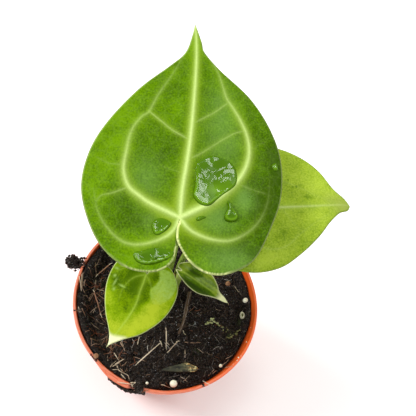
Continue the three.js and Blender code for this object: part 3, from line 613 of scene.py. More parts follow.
def join(name, parts, replaces, material):
    """One piece out of many parts."""
    points, faces, attributes = gather(parts)
    make(name, np.maximum(points, LEAST), faces, replaces, material, attributes)


def lump(radius, seed, fineness=2, rough=0.35):
    """An uneven clod: points about its middle, and its faces."""
    mesh = bpy.data.meshes.new("lump")
    build = bmesh.new()
    bmesh.ops.create_icosphere(build, subdivisions=fineness, radius=1.0)
    build.to_mesh(mesh)
    build.free()
    points = np.array([tuple(v.co) for v in mesh.vertices])
    faces = np.array([tuple(p.vertices) for p in mesh.polygons])
    bpy.data.meshes.remove(mesh)
    shift = waves(points, 0.8, seed) * rough + waves(points, 0.35, seed + 9) * rough * 0.5
    return points * (1 + shift)[:, None] * radius, faces


def polar(radius, degrees, z):
    """A place round the pot's axis."""
    angle = math.radians(degrees)
    return np.array([radius * math.cos(angle), radius * math.sin(angle), z])


def skin(rings, ends):
    """A closed skin over rings of equally many points, with a fan to a point at each end."""
    sides = len(rings[0])
    count = len(rings)
    faces = []
    for i in range(count - 1):
        for k in range(sides):
            a = i * sides + k
            b = i * sides + (k + 1) % sides
            faces += [(a, b, b + sides), (a, b + sides, a + sides)]
    first = count * sides
    faces += [(first, (k + 1) % sides, k) for k in range(sides)]
    last = (count - 1) * sides
    faces += [(first + 1, last + k, last + (k + 1) % sides) for k in range(sides)]
    return np.vstack(list(rings) + [ends]), np.array(faces)


def tube(path, radius, sides, flutes=0, depth=0.0, flat=1.0):
    """A closed bar along a path; its radius may change along it, and it may be fluted or flat."""
    path = np.asarray(path, float)
    count = len(path)
    radius = np.broadcast_to(radius, (count,))
    way = np.gradient(path, axis=0)
    way /= np.linalg.norm(way, axis=1)[:, None]
    side = np.cross(way[0], (0.31, 0.17, 0.94))
    side /= np.linalg.norm(side)
    turn = np.arange(sides) * math.tau / sides
    reach = (1 + depth * np.cos(flutes * turn))[:, None]
    rings = []
    for i in range(count):
        side = side - way[i] * (side @ way[i])
        side /= np.linalg.norm(side)
        up = np.cross(way[i], side)
        around = np.outer(np.cos(turn), side) + flat * np.outer(np.sin(turn), up)
        rings.append(path[i] + radius[i] * reach * around)
    return skin(rings, path[[0, -1]])


# Materials

class Shader:
    """A node material under construction."""

    def __init__(self, name):
        self.material = bpy.data.materials.new(name)
        self.material.use_nodes = True
        self.tree = self.material.node_tree
        self.surface = self.tree.nodes["Principled BSDF"]

    def add(self, kind, inputs=None, **settings):
        node = self.tree.nodes.new(kind)
        for key, value in settings.items():
            setattr(node, key, value)
        for key, value in (inputs or {}).items():
            self.put(node.inputs[key], value)
        return node

    def put(self, socket, value):
        if isinstance(value, bpy.types.NodeSocket):
            self.tree.links.new(value, socket)
        else:
            socket.default_value = value

    def set(self, **values):
        for key, value in values.items():
            self.put(self.surface.inputs[key.replace("_", " ")], value)

    def attribute(self, name, vector=False):
        node = self.add("ShaderNodeAttribute", attribute_name=name)
        return node.outputs["Vector" if vector else "Fac"]

    def place(self):
        return self.add("ShaderNodeTexCoord").outputs["Object"]

    def math(self, operation, a, b=0.0, clamp=False):
        return self.add("ShaderNodeMath", {0: a, 1: b}, operation=operation, use_clamp=clamp).outputs[0]

    def mix(self, share, a, b, blend="MIX"):
        node = self.add("ShaderNodeMix", data_type="RGBA", blend_type=blend)
        self.put(node.inputs["Factor"], share)
        for key, value in ((6, a), (7, b)):
            self.put(node.inputs[key], linear(value) if isinstance(value, str) else value)
        return node.outputs[2]

    def noise(self, vector, scale, detail=3.0, rough=0.55, warp=0.0):
        node = self.add("ShaderNodeTexNoise", {
            "Vector": vector, "Scale": scale, "Detail": detail, "Roughness": rough, "Distortion": warp})
        return node.outputs["Fac"]

    def cells(self, vector, scale, feature="F1"):
        node = self.add("ShaderNodeTexVoronoi", {"Vector": vector, "Scale": scale}, feature=feature)
        return node.outputs["Distance"]

    def stretched(self, scale):
        """The place, drawn out along an axis."""
        return self.add("ShaderNodeMapping", {"Vector": self.place(), "Scale": scale}).outputs[0]

    def scaled(self, value, by, plus=0.0, clamp=False):
        """A value times a number, plus another."""
        times = self.math("MULTIPLY", value, by, clamp)
        return self.math("ADD", plus, times) if plus else times

    def steps(self, value, *stops):
        """Maps a value through straight lines between (position, result) stops."""
        node = self.add("ShaderNodeFloatCurve", {"Value": value})
        curve = node.mapping.curves[0]
        for i, (x, y) in enumerate(stops):
            point = curve.points[i] if i < 2 else curve.points.new(x, y)
            point.location = (x, y)
        for point in curve.points:
            point.handle_type = "VECTOR"
        node.mapping.update()
        return node.outputs[0]

    def spots(self, value, low, high, top, end=1):
        """Nothing below low, then a rise to top at high and to end at 1."""
        return self.steps(value, (0, 0), (low, 0), (high, top), (1, end))

    def finish(self, colour, rough, specular, relief, depth, strength):
        """Sets the surface, with fine relief of a depth in metres, and gives the material."""
        bump = self.add("ShaderNodeBump", {"Height": relief, "Distance": depth, "Strength": strength})
        self.set(Base_Color=colour, Roughness=rough, Specular_IOR_Level=specular, Normal=bump.outputs[0])
        return self.material


# Blades

def pitch(form, share):
    """Slope of the midrib above the horizontal at a share of the blade's length, in degrees."""
    ahead = np.clip(share, 0, None)
    behind = np.clip(-share, 0, None)
    at_tip = np.clip((ahead - 0.85) / 0.15, 0, None)
    return (form["rise"] - form["droop"] * ahead ** 1.5 - form["curl"] * at_tip ** 1.5
            - form["back"] * behind / 0.3)


def blade_point(form, u, v, height):
    """Bends the flat blade's points (u, v), which lie out of its middle sheet by height."""
    steps = 24
    at = u[:, None] * (np.arange(steps) + 0.5)[None, :] / steps
    slope = np.radians(pitch(form, at / form["length"]))
    ahead = np.cos(slope).mean(axis=1) * u
    high = np.sin(slope).mean(axis=1) * u
    angle = np.radians(pitch(form, u / form["length"]))
    cup = math.radians(form["cup"]) / form["half_width"]
    fold = math.radians(form["fold"])
    soft = 2.0
    side = np.sin(cup * v) / cup * math.cos(fold)
    out = ((1 - np.cos(cup * v)) / cup + math.sin(fold) * (np.hypot(v, soft) - soft)
           + form["lift"] * np.exp(-(v / 5) ** 2) * np.clip(-u / 12, 0, 1) + height)
    heading = math.radians(form["heading"])
    forward = np.array([math.sin(heading), math.cos(heading), 0])
    right = np.array([math.cos(heading), -math.sin(heading), 0])
    place = np.array(form["attach"]) + np.outer(ahead - out * np.sin(angle), forward)
    place += np.outer(side, right)
    place[:, 2] += high + out * np.cos(angle)
    return place


def on_blade(form, pixels):
    """Flat places, to a tenth of a millimetre, of a blade's points seen at pixels of the picture."""
    azimuth = math.radians(CAMERA["azimuth"])
    elevation = math.radians(CAMERA["elevation"])
    back = np.array([math.sin(azimuth) * math.cos(elevation), -math.cos(azimuth) * math.cos(elevation),
                     math.sin(elevation)])
    right = np.cross(-back, (0, 1, 0))
    right /= np.linalg.norm(right)
    up = np.cross(right, -back)
    eye = np.array(CAMERA["target"]) + CAMERA["distance"] * back

    def seen(flat):
        away = blade_point(form, flat[:, 0], flat[:, 1], 0) - eye
        scale = FOCAL_PIXELS / (away @ -back)
        return IMAGE_SIDE / 2 + np.column_stack([away @ right, away @ -up]) * scale[:, None]

    flat = np.zeros((len(pixels), 2))
    step = 0.01
    for _ in range(20):
        slopes = [(seen(flat + way) - seen(flat - way)) / (2 * step) for way in ((step, 0), (0, step))]
        miss = (np.array(pixels) - seen(flat))[:, :, None]
        flat = flat + np.linalg.solve(np.stack(slopes, axis=2), miss)[:, :, 0]
    return np.round(flat, 1)


def veins_of(name):
    """The blade's veins in flat millimetres."""
    if name in ("blade_large", "blade_front"):
        veins = LARGE_VEINS if name == "blade_large" else FRONT_VEINS
        shares = [1.0 if v["main"] else LESSER_SHOW for v in veins]
        return [dict(v, show=tuple(a * share for a in v["show"])) for v, share in zip(veins, shares)]
    form = BLADES[name]
    size = (form["length"] / BLADES["blade_large"]["length"]) ** 0.5
    scaled = []
    for vein in SMALL_VEINS:
        line = [(u * form["length"], v * form["half_width"]) for u, v in vein["line"]]
        width = tuple(w * size * 1.3 for w in vein["width"])
        straight = max(abs(v) for _, v in vein["line"]) < 0.1
        show = tuple(amount * (1.0 if straight else SMALL_SHOW) for amount in vein["show"])
        scaled.append(dict(line=line, width=width, show=show, main=vein["main"]))
    return scaled


def blade_loop(form, step):
    """The blade's flat outline, from the notch round the left lobe to the tip and back."""
    left = spline(form["left"], step)[::-1]
    right = spline(form["right"], step)
    return np.vstack([[(form["left"][-1][0] / 2, 0.0)], left, right[1:]])


class Sheet:
    """A blade's flat fields: veins, halos, margin and relief at any flat points."""

    def __init__(self, name):
        self.form = BLADES[name]
        self.finish = FINISH[name]
        self.loop = blade_loop(self.form, MARGIN_STEP)
        self.lines = [(spline(v["line"], 1.0), v) for v in veins_of(name)]

    def fields(self, points):
        count = len(points)
        vein = np.zeros(count)
        halo = np.zeros(count)
        ridge = np.zeros(count)
        gap = np.full(count, np.inf)
        for line, kind in self.lines:
            far, along = nearest(points, line)
            width = kind["width"][0] + (kind["width"][1] - kind["width"][0]) * along
            show = np.interp(along, np.linspace(0, 1, len(kind["show"])), kind["show"])
            core = 0.6 * np.exp(-(far / (0.42 * width)) ** 2) + 0.4 * np.exp(-(far / width) ** 2)
            vein = np.maximum(vein, core * show)
            ridge = np.maximum(ridge, (1 - smooth(0.1, 1.1, far / width)) * show * width)
            halo = np.maximum(halo, np.exp(-(far / (0.9 + 1.1 * width)) ** 2) * show)
            if kind["main"]:
                gap = np.minimum(gap, far)
        edge = to_edge(points, self.loop)
        centre = np.exp(-(np.hypot(points[:, 0], points[:, 1]) / (0.08 * self.form["length"])) ** 2)
        halo = np.clip(1.3 * halo + 0.8 * centre, 0, 1)
        return dict(vein=vein, halo=halo, ridge=ridge, gap=gap, edge=edge)

    def relief(self, points, fields):
        """Height of the blade's middle sheet out of the plain bent form."""
        dish = -self.finish["dish"] * (1 - np.exp(-(fields["gap"] / 6) ** 2))
        rest = smooth(0, 9, fields["edge"])
        swell = 0.22 * waves(points, 13.0, 3.0) + 0.1 * waves(points, 5.0, 7.0)
        return (dish + swell * self.finish["dish"]) * rest

    def net(self):
        """Points for the mesh: dense along the veins and the margin."""
        step = self.finish["step"]
        loop = self.loop
        rows = offset_rows(loop, MARGIN_ROWS, closed=True)
        batches = [(loop, 0.0)]
        for row, offset in zip(rows, MARGIN_ROWS):
            row = row[inside(row, loop)]
            batches.append((row[to_edge(row, loop) > 0.9 * offset], min(0.1 + 0.3 * offset, 0.3)))
        for line, kind in self.lines:
            width = kind["width"][0]
            fine = spline(kind["line"], 0.5)
            reach = [0, 0.3 * width, -0.3 * width, 0.65 * width, -0.65 * width]
            if kind["main"]:
                reach += [1.1 * width, -1.1 * width]
            for row in offset_rows(fine, reach):
                row = row[inside(row, loop)]
                batches.append((row, 0.24))
        grid = hexagons(loop.min(axis=0), loop.max(axis=0), step)
        grid = grid[inside(grid, loop)]
        batches.append((grid, 0.7 * step))
        points = spread(batches)
        return points[len(loop):]


def overlap(name, u, v, height):
    """Lays the right lobe's inner margin over the left one's, as on the large blade."""
    if name != "blade_large":
        return u, v, height
    along = between(-u, 0.5, 4.5, 9.5, 14.5)
    right = v > 0
    near = np.exp(-(v / 6) ** 2) * along
    v = v + np.where(right, -0.95, 0.55) * near
    height = height + np.where(right, 0.55, -0.35) * np.exp(-(v / 3.5) ** 2) * along
    return u, v, height


def blade(name, look, material):
    """A blade: a closed thin shell with raised veins and dished fields between them."""
    sheet = Sheet(name)
    form = sheet.form
    flat, triangles = triangulate(sheet.loop, sheet.net())
    fields = sheet.fields(flat)
    relief = sheet.relief(flat, fields)
    pairs, times = np.unique(np.sort(sides_of(triangles), axis=1), axis=0, return_counts=True)
    rim = np.zeros(len(flat), bool)
    rim[pairs[times == 1].ravel()] = True
    thick = sheet.finish["thick"] / 2
    body = np.sqrt(1 - (1 - np.clip(fields["edge"] / 0.5, 0, 1)) ** 2)
    body[rim] = 0
    top_height = relief + body * (thick + 0.2 * fields["ridge"])
    low_height = relief - body * (thick + 0.42 * fields["ridge"])
    inner, faces = shell(rim, triangles[:, ::-1])
    top = blade_point(form, *overlap(name, flat[:, 0], flat[:, 1], top_height))
    low = blade_point(form, *overlap(name, flat[inner, 0], flat[inner, 1], low_height[inner]))
    source = np.concatenate([np.arange(len(flat)), inner])
    under = np.concatenate([np.where(rim, 0.5, 0.0), np.ones(len(inner))])
    attributes = dict(
        flat=np.column_stack([flat[source], under]), under=under,
        vein=fields["vein"][source], halo=fields["halo"][source], margin=fields["edge"][source],
    )
    attributes.update({key: values[source] for key, values in look(flat).items()})
    make(name + "_leaf", np.vstack([top, low]), faces, [name], material, attributes)


def patches(points, spots):
    """Sum of soft spots, each (u, v, radius along, radius across, amount)."""
    total = np.zeros(len(points))
    x, y = points.T
    for u, v, along, across, amount in spots:
        total += amount * np.exp(-((x - u) / along) ** 2 - ((y - v) / across) ** 2)
    return total


def region(points, outline, soft, grow=0.0):
    """1 inside a flat outline, 0 outside it, with an edge of a given softness."""
    loop = spline(outline, 0.5, closed=True)
    far = nearest(points, loop)[0]
    return smooth(-soft, soft, np.where(inside(points, loop[:-1]), far, -far) + grow)


def leaf_material(name, palette, gloss=0.5, speck=0.9, cloudy=1.0, margin=(0.12, 0.6)):
    """Leaf tissue: painted by the blade's fields, with a fine net of veinlets and tiny cells, painted light
    and shade and a painted sheen.
    """
    s = Shader(name)
    flat = s.attribute("flat", vector=True)
    cloud = s.noise(flat, 0.14, 4.0, 0.6, 0.4)
    fleck = s.noise(flat, 1.3, 4.0, 0.75)
    # The tone mixes the leaf's own lighter and darker patches with painted light and painted shade
    shade = s.math("ADD", s.attribute("tone_and_painted_light"), s.scaled(s.math("SUBTRACT", cloud, 0.5), 2.2 * cloudy))
    shade = s.math("ADD", shade, s.scaled(s.math("SUBTRACT", fleck, 0.5), 2.0 * speck))
    colour = s.mix(s.scaled(shade, 1.0, clamp=True), palette["base"], palette["light"])
    colour = s.mix(s.scaled(shade, -1.0, clamp=True), colour, palette["dark"])
    # Painted sheen: pale patches mixed into the colour
    painted_sheen = s.math("MULTIPLY", s.attribute("pale"), s.scaled(fleck, 1.1, 0.45), True)
    colour = s.mix(painted_sheen, colour, palette["pale"])
    cloudy_colour = s.add("ShaderNodeTexNoise", {"Vector": flat, "Scale": 0.35}).outputs["Color"]
    warp = s.mix(0.06, flat, cloudy_colour, "LINEAR_LIGHT")
    wide = s.steps(s.cells(warp, 0.24, "DISTANCE_TO_EDGE"), (0, 1), (0.1, 0.25), (0.25, 0), (1, 0))
    fine = s.steps(s.cells(warp, 0.75, "DISTANCE_TO_EDGE"), (0, 1), (0.12, 0.2), (0.3, 0), (1, 0))
    veinlets = s.scaled(s.math("ADD", wide, s.scaled(fine, 0.45)), 0.025)
    colour = s.mix(veinlets, colour, palette["vein"])
    halo = s.math("MULTIPLY", s.attribute("halo"), s.scaled(fleck, 0.5, 0.72))
    colour = s.mix(s.scaled(halo, palette["halo_share"]), colour, palette["halo"])
    vein = s.math("MULTIPLY", s.attribute("vein"), s.scaled(fleck, 0.8, 0.55), True)
    colour = s.mix(s.scaled(vein, palette["vein_share"]), colour, palette["vein"])
    edge = s.add("ShaderNodeMapRange", {
        "Value": s.attribute("margin"), "From Min": margin[0], "From Max": margin[1],
        "To Min": 1.0, "To Max": 0.0}).outputs[0]
    edge = s.math("MAXIMUM", s.scaled(edge, palette["margin_share"]), s.attribute("cream"))
    colour = s.mix(edge, colour, palette["margin"])
    below = s.mix(s.scaled(vein, 0.8), palette["under"], palette["under_vein"])
    below = s.mix(s.scaled(cloud, 0.5), below, palette["dark"])
    colour = s.mix(s.attribute("under"), colour, below)
    grain = s.math("ADD", s.scaled(s.noise(flat, 2.6, 2.0), 0.6), s.scaled(veinlets, -1.5))
    return s.finish(colour, s.scaled(fleck, 0.12, gloss), palette["shine"], grain, 0.00012, 0.8)


def large_look(points):
    # Tone: the leaf's own patches, painted light on the left outer half and painted shade along the right
    # margin. Pale: painted sheen
    tone_and_painted_light = patches(points, [
        (20, -33, 26, 7, 0.8), (45, -24, 18, 6, 0.7), (-15, -14, 6, 10, 0.9), (0, -20, 9, 8, -0.5),
        (24, 36, 26, 5, -1.1), (12, 30, 10, 4, -0.9), (-8, 26, 8, 10, -0.7), (-16, 9, 4, 7, 0.4),
        (62, -6, 14, 6, 0.1), (78, 0, 10, 5, 0.7), (26, -8, 14, 7, -0.35), (44, -8, 9, 6, 0.4),
        (52, 18, 12, 5, 0.3)])
    pale = patches(points, [
        (14, -14, 9, 6, 0.35), (34, 14, 13, 7, 0.4), (3, 13, 6, 7, 0.6), (12, 24, 5, 4, 0.7),
        (-13, 20, 6, 9, 0.55), (50, 12, 10, 5, 0.3), (-2, -10, 4, 4, 0.3)])
    rim = nearest(points, blade_loop(BLADES["blade_large"], MARGIN_STEP))[0]
    along, across = points.T
    lobes = np.where(across > 0, 1 - smooth(16, 30, across), 0.55 * (1 - smooth(14, 30, -across)))
    cream = (1 - smooth(0.3, 0.85, rim)) * lobes * smooth(0.5, 2.5, -along)
    return dict(tone_and_painted_light=tone_and_painted_light, pale=pale, cream=cream)


def side_look(points):
    tone_and_painted_light = patches(points, [
        (28, -16, 12, 8, 0.2), (38, -8, 8, 6, 0.5), (31, -3, 7, 3, -0.1), (24, 3, 8, 3, 0.2),
        (36, 6, 6, 5, 0.4), (22, 14, 8, 4, -0.2), (14, 21, 9, 4, 0.9), (12, 2, 8, 10, 0.3)])
    marks = patches(points, [
        (25.5, -10.6, 1.2, 0.8, 0.6), (31.5, -8.4, 1.5, 0.7, 0.8), (33.9, -3.3, 1.6, 0.7, 0.7),
        (16.4, 6.5, 1.2, 0.9, 0.5), (13, 7.8, 1.3, 0.8, 0.5), (21.9, 11.1, 1.4, 0.8, 0.6),
        (29.3, 3.1, 1.6, 0.6, 0.7), (28.2, -7.8, 0.4, 0.4, 3), (29.7, -8, 0.35, 0.35, 3),
        (26.9, -11.4, 0.35, 0.35, 3), (35, 1.5, 1.2, 0.5, 0.5), (27, -13, 1.0, 0.7, 0.5)])
    # Pale: painted sheen patches
    pale = patches(points, [(16, -14, 8, 7, 0.4), (50, 1, 5, 4, 0.8), (44, -2, 5, 4, 0.35)])
    return dict(tone_and_painted_light=tone_and_painted_light - marks, pale=pale, cream=np.zeros(len(points)))


def front_look(points):
    # Shine: a patch of painted reflection. Shade and crisp: a painted shaded region. The tone's lighter
    # patches where v is below zero are painted light, and the streaks are painted glints.
    shine = region(points, [
        (-5.4, -4.2), (-0.9, -5.7), (2.3, -5.5), (4.5, -4.6), (7.3, -5.7), (9.4, -8), (8.3, -10.6),
        (5.9, -12.2), (2.6, -13.4), (-2, -13.2), (-6, -10.6)], 0.4)
    shade = region(points, [
        (3, 12.4), (10, 10.5), (13, 6), (15, 1), (14, -3.4), (9.9, -7.1), (7.3, -5.7), (4.5, -4.6),
        (2.3, -5.5), (-0.9, -5.7), (-5, -3.4), (-6, 2), (-4, 8)], 4.0)
    crisp = region(points, [
        (0, 7), (7, 6.5), (11, 2), (12.6, -2.4), (10.4, -6.6), (7.3, -5.7), (4.5, -4.6), (2.3, -5.5),
        (-0.9, -5.7), (-4, -4), (-3, 4)], 1.2)
    shade = np.clip(0.6 * shade + 0.45 * crisp, 0, 1) * (1 - shine)
    mottle = 0.75 + 0.45 * waves(points, 1.1, 6.0) + 0.25 * waves(points, 0.5, 2.0)
    pale = shine * (1 - 0.6 * smooth(2, 9, points[:, 0])) * mottle
    tone_and_painted_light = -1.05 * shade + patches(points, [
        (27, -1, 6, 6, 0.7), (16, -9, 7, 4, 0.9), (16, 9, 8, 4, 0.35), (6, 15, 8, 1.4, 1.1),
        (18, 0, 4, 4, -0.3), (7, -10, 7, 4, 0.8), (24, -6, 5, 3, 0.6), (9, 9, 4, 3, -0.3)])
    tone_and_painted_light = tone_and_painted_light + 0.3 * waves(points, 2.6, 4.0) * (1 - shine)
    painted_glint_streaks = patches(points, [
        (8.8, 9.6, 1.6, 0.35, 0.8), (6.3, 11, 0.6, 0.5, 0.9), (9, 6.2, 0.4, 1.2, 0.9),
        (11.6, 8.6, 0.7, 0.5, 0.7), (3, 11.8, 0.5, 0.9, 0.7), (1, 10.5, 0.4, 0.7, 0.6)])
    cream = region(points, [(27.2, -6), (28.4, 0.2), (27.5, 5), (36, 3), (36, -3)], 1.0)
    return dict(tone_and_painted_light=tone_and_painted_light, pale=np.clip(0.8 * pale + painted_glint_streaks, 0, 1), cream=cream)


def young_look(points):
    along, across = points.T
    # Pale: a painted sheen patch; the flecks are painted glints
    pale = region(points, [
        (6.4, -0.2), (8.9, -2.6), (12.2, -3.4), (15.6, -2.2), (16.2, -0.6), (12.8, 0.1), (8.9, 0.4)], 0.6)
    tone_and_painted_light = patches(points, [
        (0.2, -1.5, 1.8, 2.6, 1.6), (4.5, -2.2, 3, 1.4, -1.0), (8, 3.6, 7, 1.5, -1.6),
        (13, 1.8, 4, 0.9, -0.9), (11, -4.6, 6, 0.9, 1.2), (16.4, -0.5, 2.2, 2.5, 1.1),
        (9, 1.6, 6, 0.5, 0.8)])
    tone_and_painted_light = tone_and_painted_light + 0.35 * np.sin(3.4 * across + 0.5 * np.sin(along))
    painted_glint_flecks = patches(points, [
        (7.6, -0.6, 1.6, 0.4, 0.8), (1, -2.4, 1.4, 0.5, 0.8), (4, 1.2, 1.5, 0.3, 0.5),
        (3.4, -3.8, 0.8, 0.3, 0.8)])
    pale = np.clip(0.6 * pale * (0.6 + 0.4 * waves(points, 1.2, 2.0)) + painted_glint_flecks, 0, 1)
    cream = region(points, [(17.2, -3), (18.6, -0.3), (18.8, 3), (26, 3), (26, -3)], 1.4)
    return dict(tone_and_painted_light=tone_and_painted_light, pale=pale, cream=0.95 * cream)


# Water

def water_material():
    s = Shader("water")
    place = s.place()
    cloud = s.noise(place, 260.0, 3.0)
    colour = s.mix(cloud, "#3a5a00", "#467000")
    # Painted caustic light: brighter green where light gathers under the water
    colour = s.mix(s.attribute("painted_caustic_light"), colour, "#6f9c14")
    colour = s.mix(s.attribute("edge"), colour, "#4c7000")
    s.set(Base_Color=colour, Roughness=0.1, Specular_IOR_Level=0.13)
    return s.material


def pool(sheet, outline, depth, ripple, level, reach=0.9, grow=0.14, millimetres=False):
    """A pool on the blade: its skin rises round from the edge and lies level in places."""
    if not millimetres:
        outline = on_blade(sheet.form, outline)
        level = [on_blade(sheet.form, patch) for patch in level]
    loop = spline(outline, 0.3, closed=True)[:-1]
    grid = hexagons(loop.min(axis=0), loop.max(axis=0), WATER_STEP)
    grid = grid[inside(grid, loop)]
    flat, triangles = triangulate(loop, grid[to_edge(grid, loop) > 0.14])
    edge = to_edge(flat, loop)
    rim = edge < 1e-6
    ground = leaf_top(sheet, flat)
    reach = min(reach, edge.max())
    body = smooth(-0.25 * reach, reach, edge)
    fit = np.column_stack([ground[:, :2], np.ones(len(flat))])
    plane = np.linalg.lstsq(fit[rim], ground[rim, 2], rcond=None)[0]
    high = fit @ plane + depth
    high = high + ripple * waves(flat, 5.0, 3.0)
    for patch in level:
        high = terraces(flat, high, region(flat, patch, 0.18, grow))
    top = ground.copy()
    over = body * np.maximum(high - ground[:, 2], 0.35 * depth)
    top[:, 2] = np.where(rim, ground[:, 2], ground[:, 2] + over)
    inner, faces = shell(rim, triangles[:, ::-1])
    points = np.vstack([top, ground[inner] - (0, 0, 0.06)])
    # Painted caustic light: a bright band inside the edge on the low side, and painted light patches
    side = smooth(0.2, 1.0, (flat[:, 0] - flat[:, 0].min()) / np.ptp(flat[:, 0]))
    painted_caustic_light = 0.55 * np.exp(-((edge - 0.8) / 0.5) ** 2) * (1 - side)
    painted_light = patches(flat, [(13, 12.4, 2.6, 3.4, 1.0), (16, 17, 3, 2.4, 0.5), (8, 8, 1.6, 2.4, 0.7)])
    painted_caustic_light = np.maximum(painted_caustic_light, 0.5 * painted_light)
    source = np.concatenate([np.arange(len(flat)), inner])
    return points, faces, dict(edge=(0.8 * np.exp(-(edge / 0.5) ** 2))[source], painted_caustic_light=painted_caustic_light[source])


def terraces(flat, high, lie):
    """Makes a height field level where lie is 1, in short steps along the longer way."""
    core = lie > 0.5
    if not core.any():
        return high
    high = high.copy()
    way = np.linalg.svd(flat[core] - flat[core].mean(axis=0), full_matrices=False)[2][0]
    cell = np.floor(flat @ way / 2.6)
    for k in np.unique(cell[core]):
        here = cell == k
        high[here] += lie[here] * (high[core & here].mean() - high[here])
    return high


def leaf_top(sheet, flat):
    """Points of a blade's upper surface."""
    fields = sheet.fields(flat)
    thick = sheet.finish["thick"] / 2
    height = sheet.relief(flat, fields) + thick + 0.2 * fields["ridge"]
    return blade_point(sheet.form, flat[:, 0], flat[:, 1], height)


def water():
    """Pools and drops that lie on the large blade."""
    sheet = Sheet("blade_large")
    parts = [pool(sheet, **form) for form in WATER]
    rng = np.random.default_rng(41)
    line = spline(MIST, 0.1)
    for _ in range(MIST_DROPS):
        spot = line[rng.integers(len(line))] + rng.normal(scale=(1.3, 0.8))
        points, faces = lump(0.1 + 0.16 * rng.random() ** 2, rng.random() * 9, 2, 0.05)
        base = leaf_top(sheet, spot[None, :])[0]
        # Each drop carries a little painted caustic light
        parts.append((points * (1, 1, 0.7) + base, faces, dict(edge=0.3, painted_caustic_light=0.2)))
    join("water_drops", parts, (), MATERIAL["water"])


# Pot

def turned(profile, sides, warp):
    """A surface of revolution from a closed [radius, z] profile, which warp changes with the angle."""
    profile = np.asarray(profile, float)
    count = len(profile)
    points = []
    for i in range(sides):
        angle = 2 * math.pi * i / sides
        out, high = warp(profile, angle).T
        points.append(np.column_stack([out * math.cos(angle), out * math.sin(angle), high]))
    faces = []
    for i in range(sides):
        for k in range(count):
            a = i * count + k
            b = i * count + (k + 1) % count
            c = ((i + 1) % sides) * count + (k + 1) % count
            d = ((i + 1) % sides) * count + k
            faces.append((a, d, c, b))
    return np.vstack(points), faces


def pot_profile():
    """The wall's section, out over the rounded lip and down inside."""
    lip = POT["lip_radius"]
    high = POT["height"]
    outside = [
        (DRAIN["ring_radius"] + 5, 0), (POT["base_radius"] - 1, 0), (POT["base_radius"] - 0.3, 0.3),
        (POT["base_radius"], 1), (POT["shoulder_radius"], POT["shoulder"]),
        (POT["shoulder_radius"] + 0.25, POT["shoulder"] + 0.35),
        (POT["collar_foot_radius"] - 0.3, POT["collar_foot"] - 0.2),
        (POT["collar_foot_radius"], POT["collar_foot"] + 0.2),
        (POT["collar_top_radius"], high - POT["lip_height"]), (lip - 0.5, high - POT["lip_height"] + 0.3),
        (lip - 0.15, high - 1.7), (lip, high - 1.1), (lip - 0.04, high - 0.6), (lip - 0.2, high - 0.2),
        (lip - 0.42, high - 0.02), (lip - 0.6, high - 0.1), (lip - 0.75, high - 0.02), (lip - 1.0, high),
    ]
    wall = POT["wall"]
    inside_wall = [
        (lip - 1.18, high - 0.12), (lip - 1.28, high - 0.5), (lip - 1.5, high - 1.6),
        (POT["collar_top_radius"] - wall + 0.1, high - POT["lip_height"]),
        (POT["collar_foot_radius"] - wall, POT["collar_foot"] + 0.5),
        (POT["shoulder_radius"] - wall, POT["shoulder"] + 0.5),
        (POT["base_radius"] - wall, POT["floor"] + 0.8), (POT["base_radius"] - wall - 0.8, POT["floor"]),
        (DRAIN["ring_radius"] + 5, POT["floor"]),
    ]
    return outside + inside_wall


def fine_profile(profile, fine, coarse):
    """Adds points along the stretches of a closed profile, closely along the lip."""
    profile = np.asarray(profile, float)
    result = []
    for a, b in zip(profile, np.roll(profile, -1, axis=0)):
        step = fine if min(a[1], b[1]) > POT["height"] - 4 else coarse
        parts = max(1, int(np.linalg.norm(b - a) / step))
        result += [a + (b - a) * i / parts for i in range(parts)]
    return np.array(result)


def pot_material():
    s = Shader("pot_plastic")
    place = s.place()
    cloud = s.noise(place, 60.0, 4.0)
    streak = s.noise(s.attribute("run", vector=True), 1.0, 4.0, 0.65)
    colour = s.mix(cloud, "#d24e10", "#dd5c20")
    # Painted highlight lines along the lip top
    painted_light = s.steps(streak, (0, 0.05), (0.36, 0.25), (0.5, 0.75), (0.62, 1), (1, 1))
    colour = s.mix(s.math("MULTIPLY", s.attribute("lip_painted_light_and_shade"), painted_light), colour, "#dc8468")
    # Painted shade lines between the highlights
    painted_shade_lines = s.steps(streak, (0, 0.8), (0.34, 0.6), (0.46, 0), (1, 0))
    colour = s.mix(s.math("MULTIPLY", s.attribute("lip_painted_light_and_shade"), painted_shade_lines), colour, "#a8391c")
    # Painted light: a brighter orange on the right of the lip
    colour = s.mix(s.attribute("painted_light_orange"), colour, "#fb6a1e")
    # Dirt, with painted shade on the inner wall at the left and front
    grime_and_shade = s.math("MULTIPLY", s.noise(place, 420.0, 5.0, 0.7), s.attribute("dirt_and_shade"))
    colour = s.mix(s.spots(grime_and_shade, 0.32, 0.45, 0.9), colour, "#3a1c12")
    dust = s.spots(s.noise(place, 900.0, 3.0, 0.7), 0.62, 0.72, 1)
    colour = s.mix(s.scaled(dust, 0.12), colour, "#7a3a20")
    relief = s.math("ADD", s.noise(place, 500.0, 3.0), streak)
    return s.finish(colour, s.scaled(cloud, 0.2, 0.3), 0.4, relief, 0.00015, 0.6)


def bump(turn, middle, width):
    """A soft bump round an angle, in degrees."""
    away = (turn - middle + 180) % 360 - 180
    return np.exp(-(away / width) ** 2)


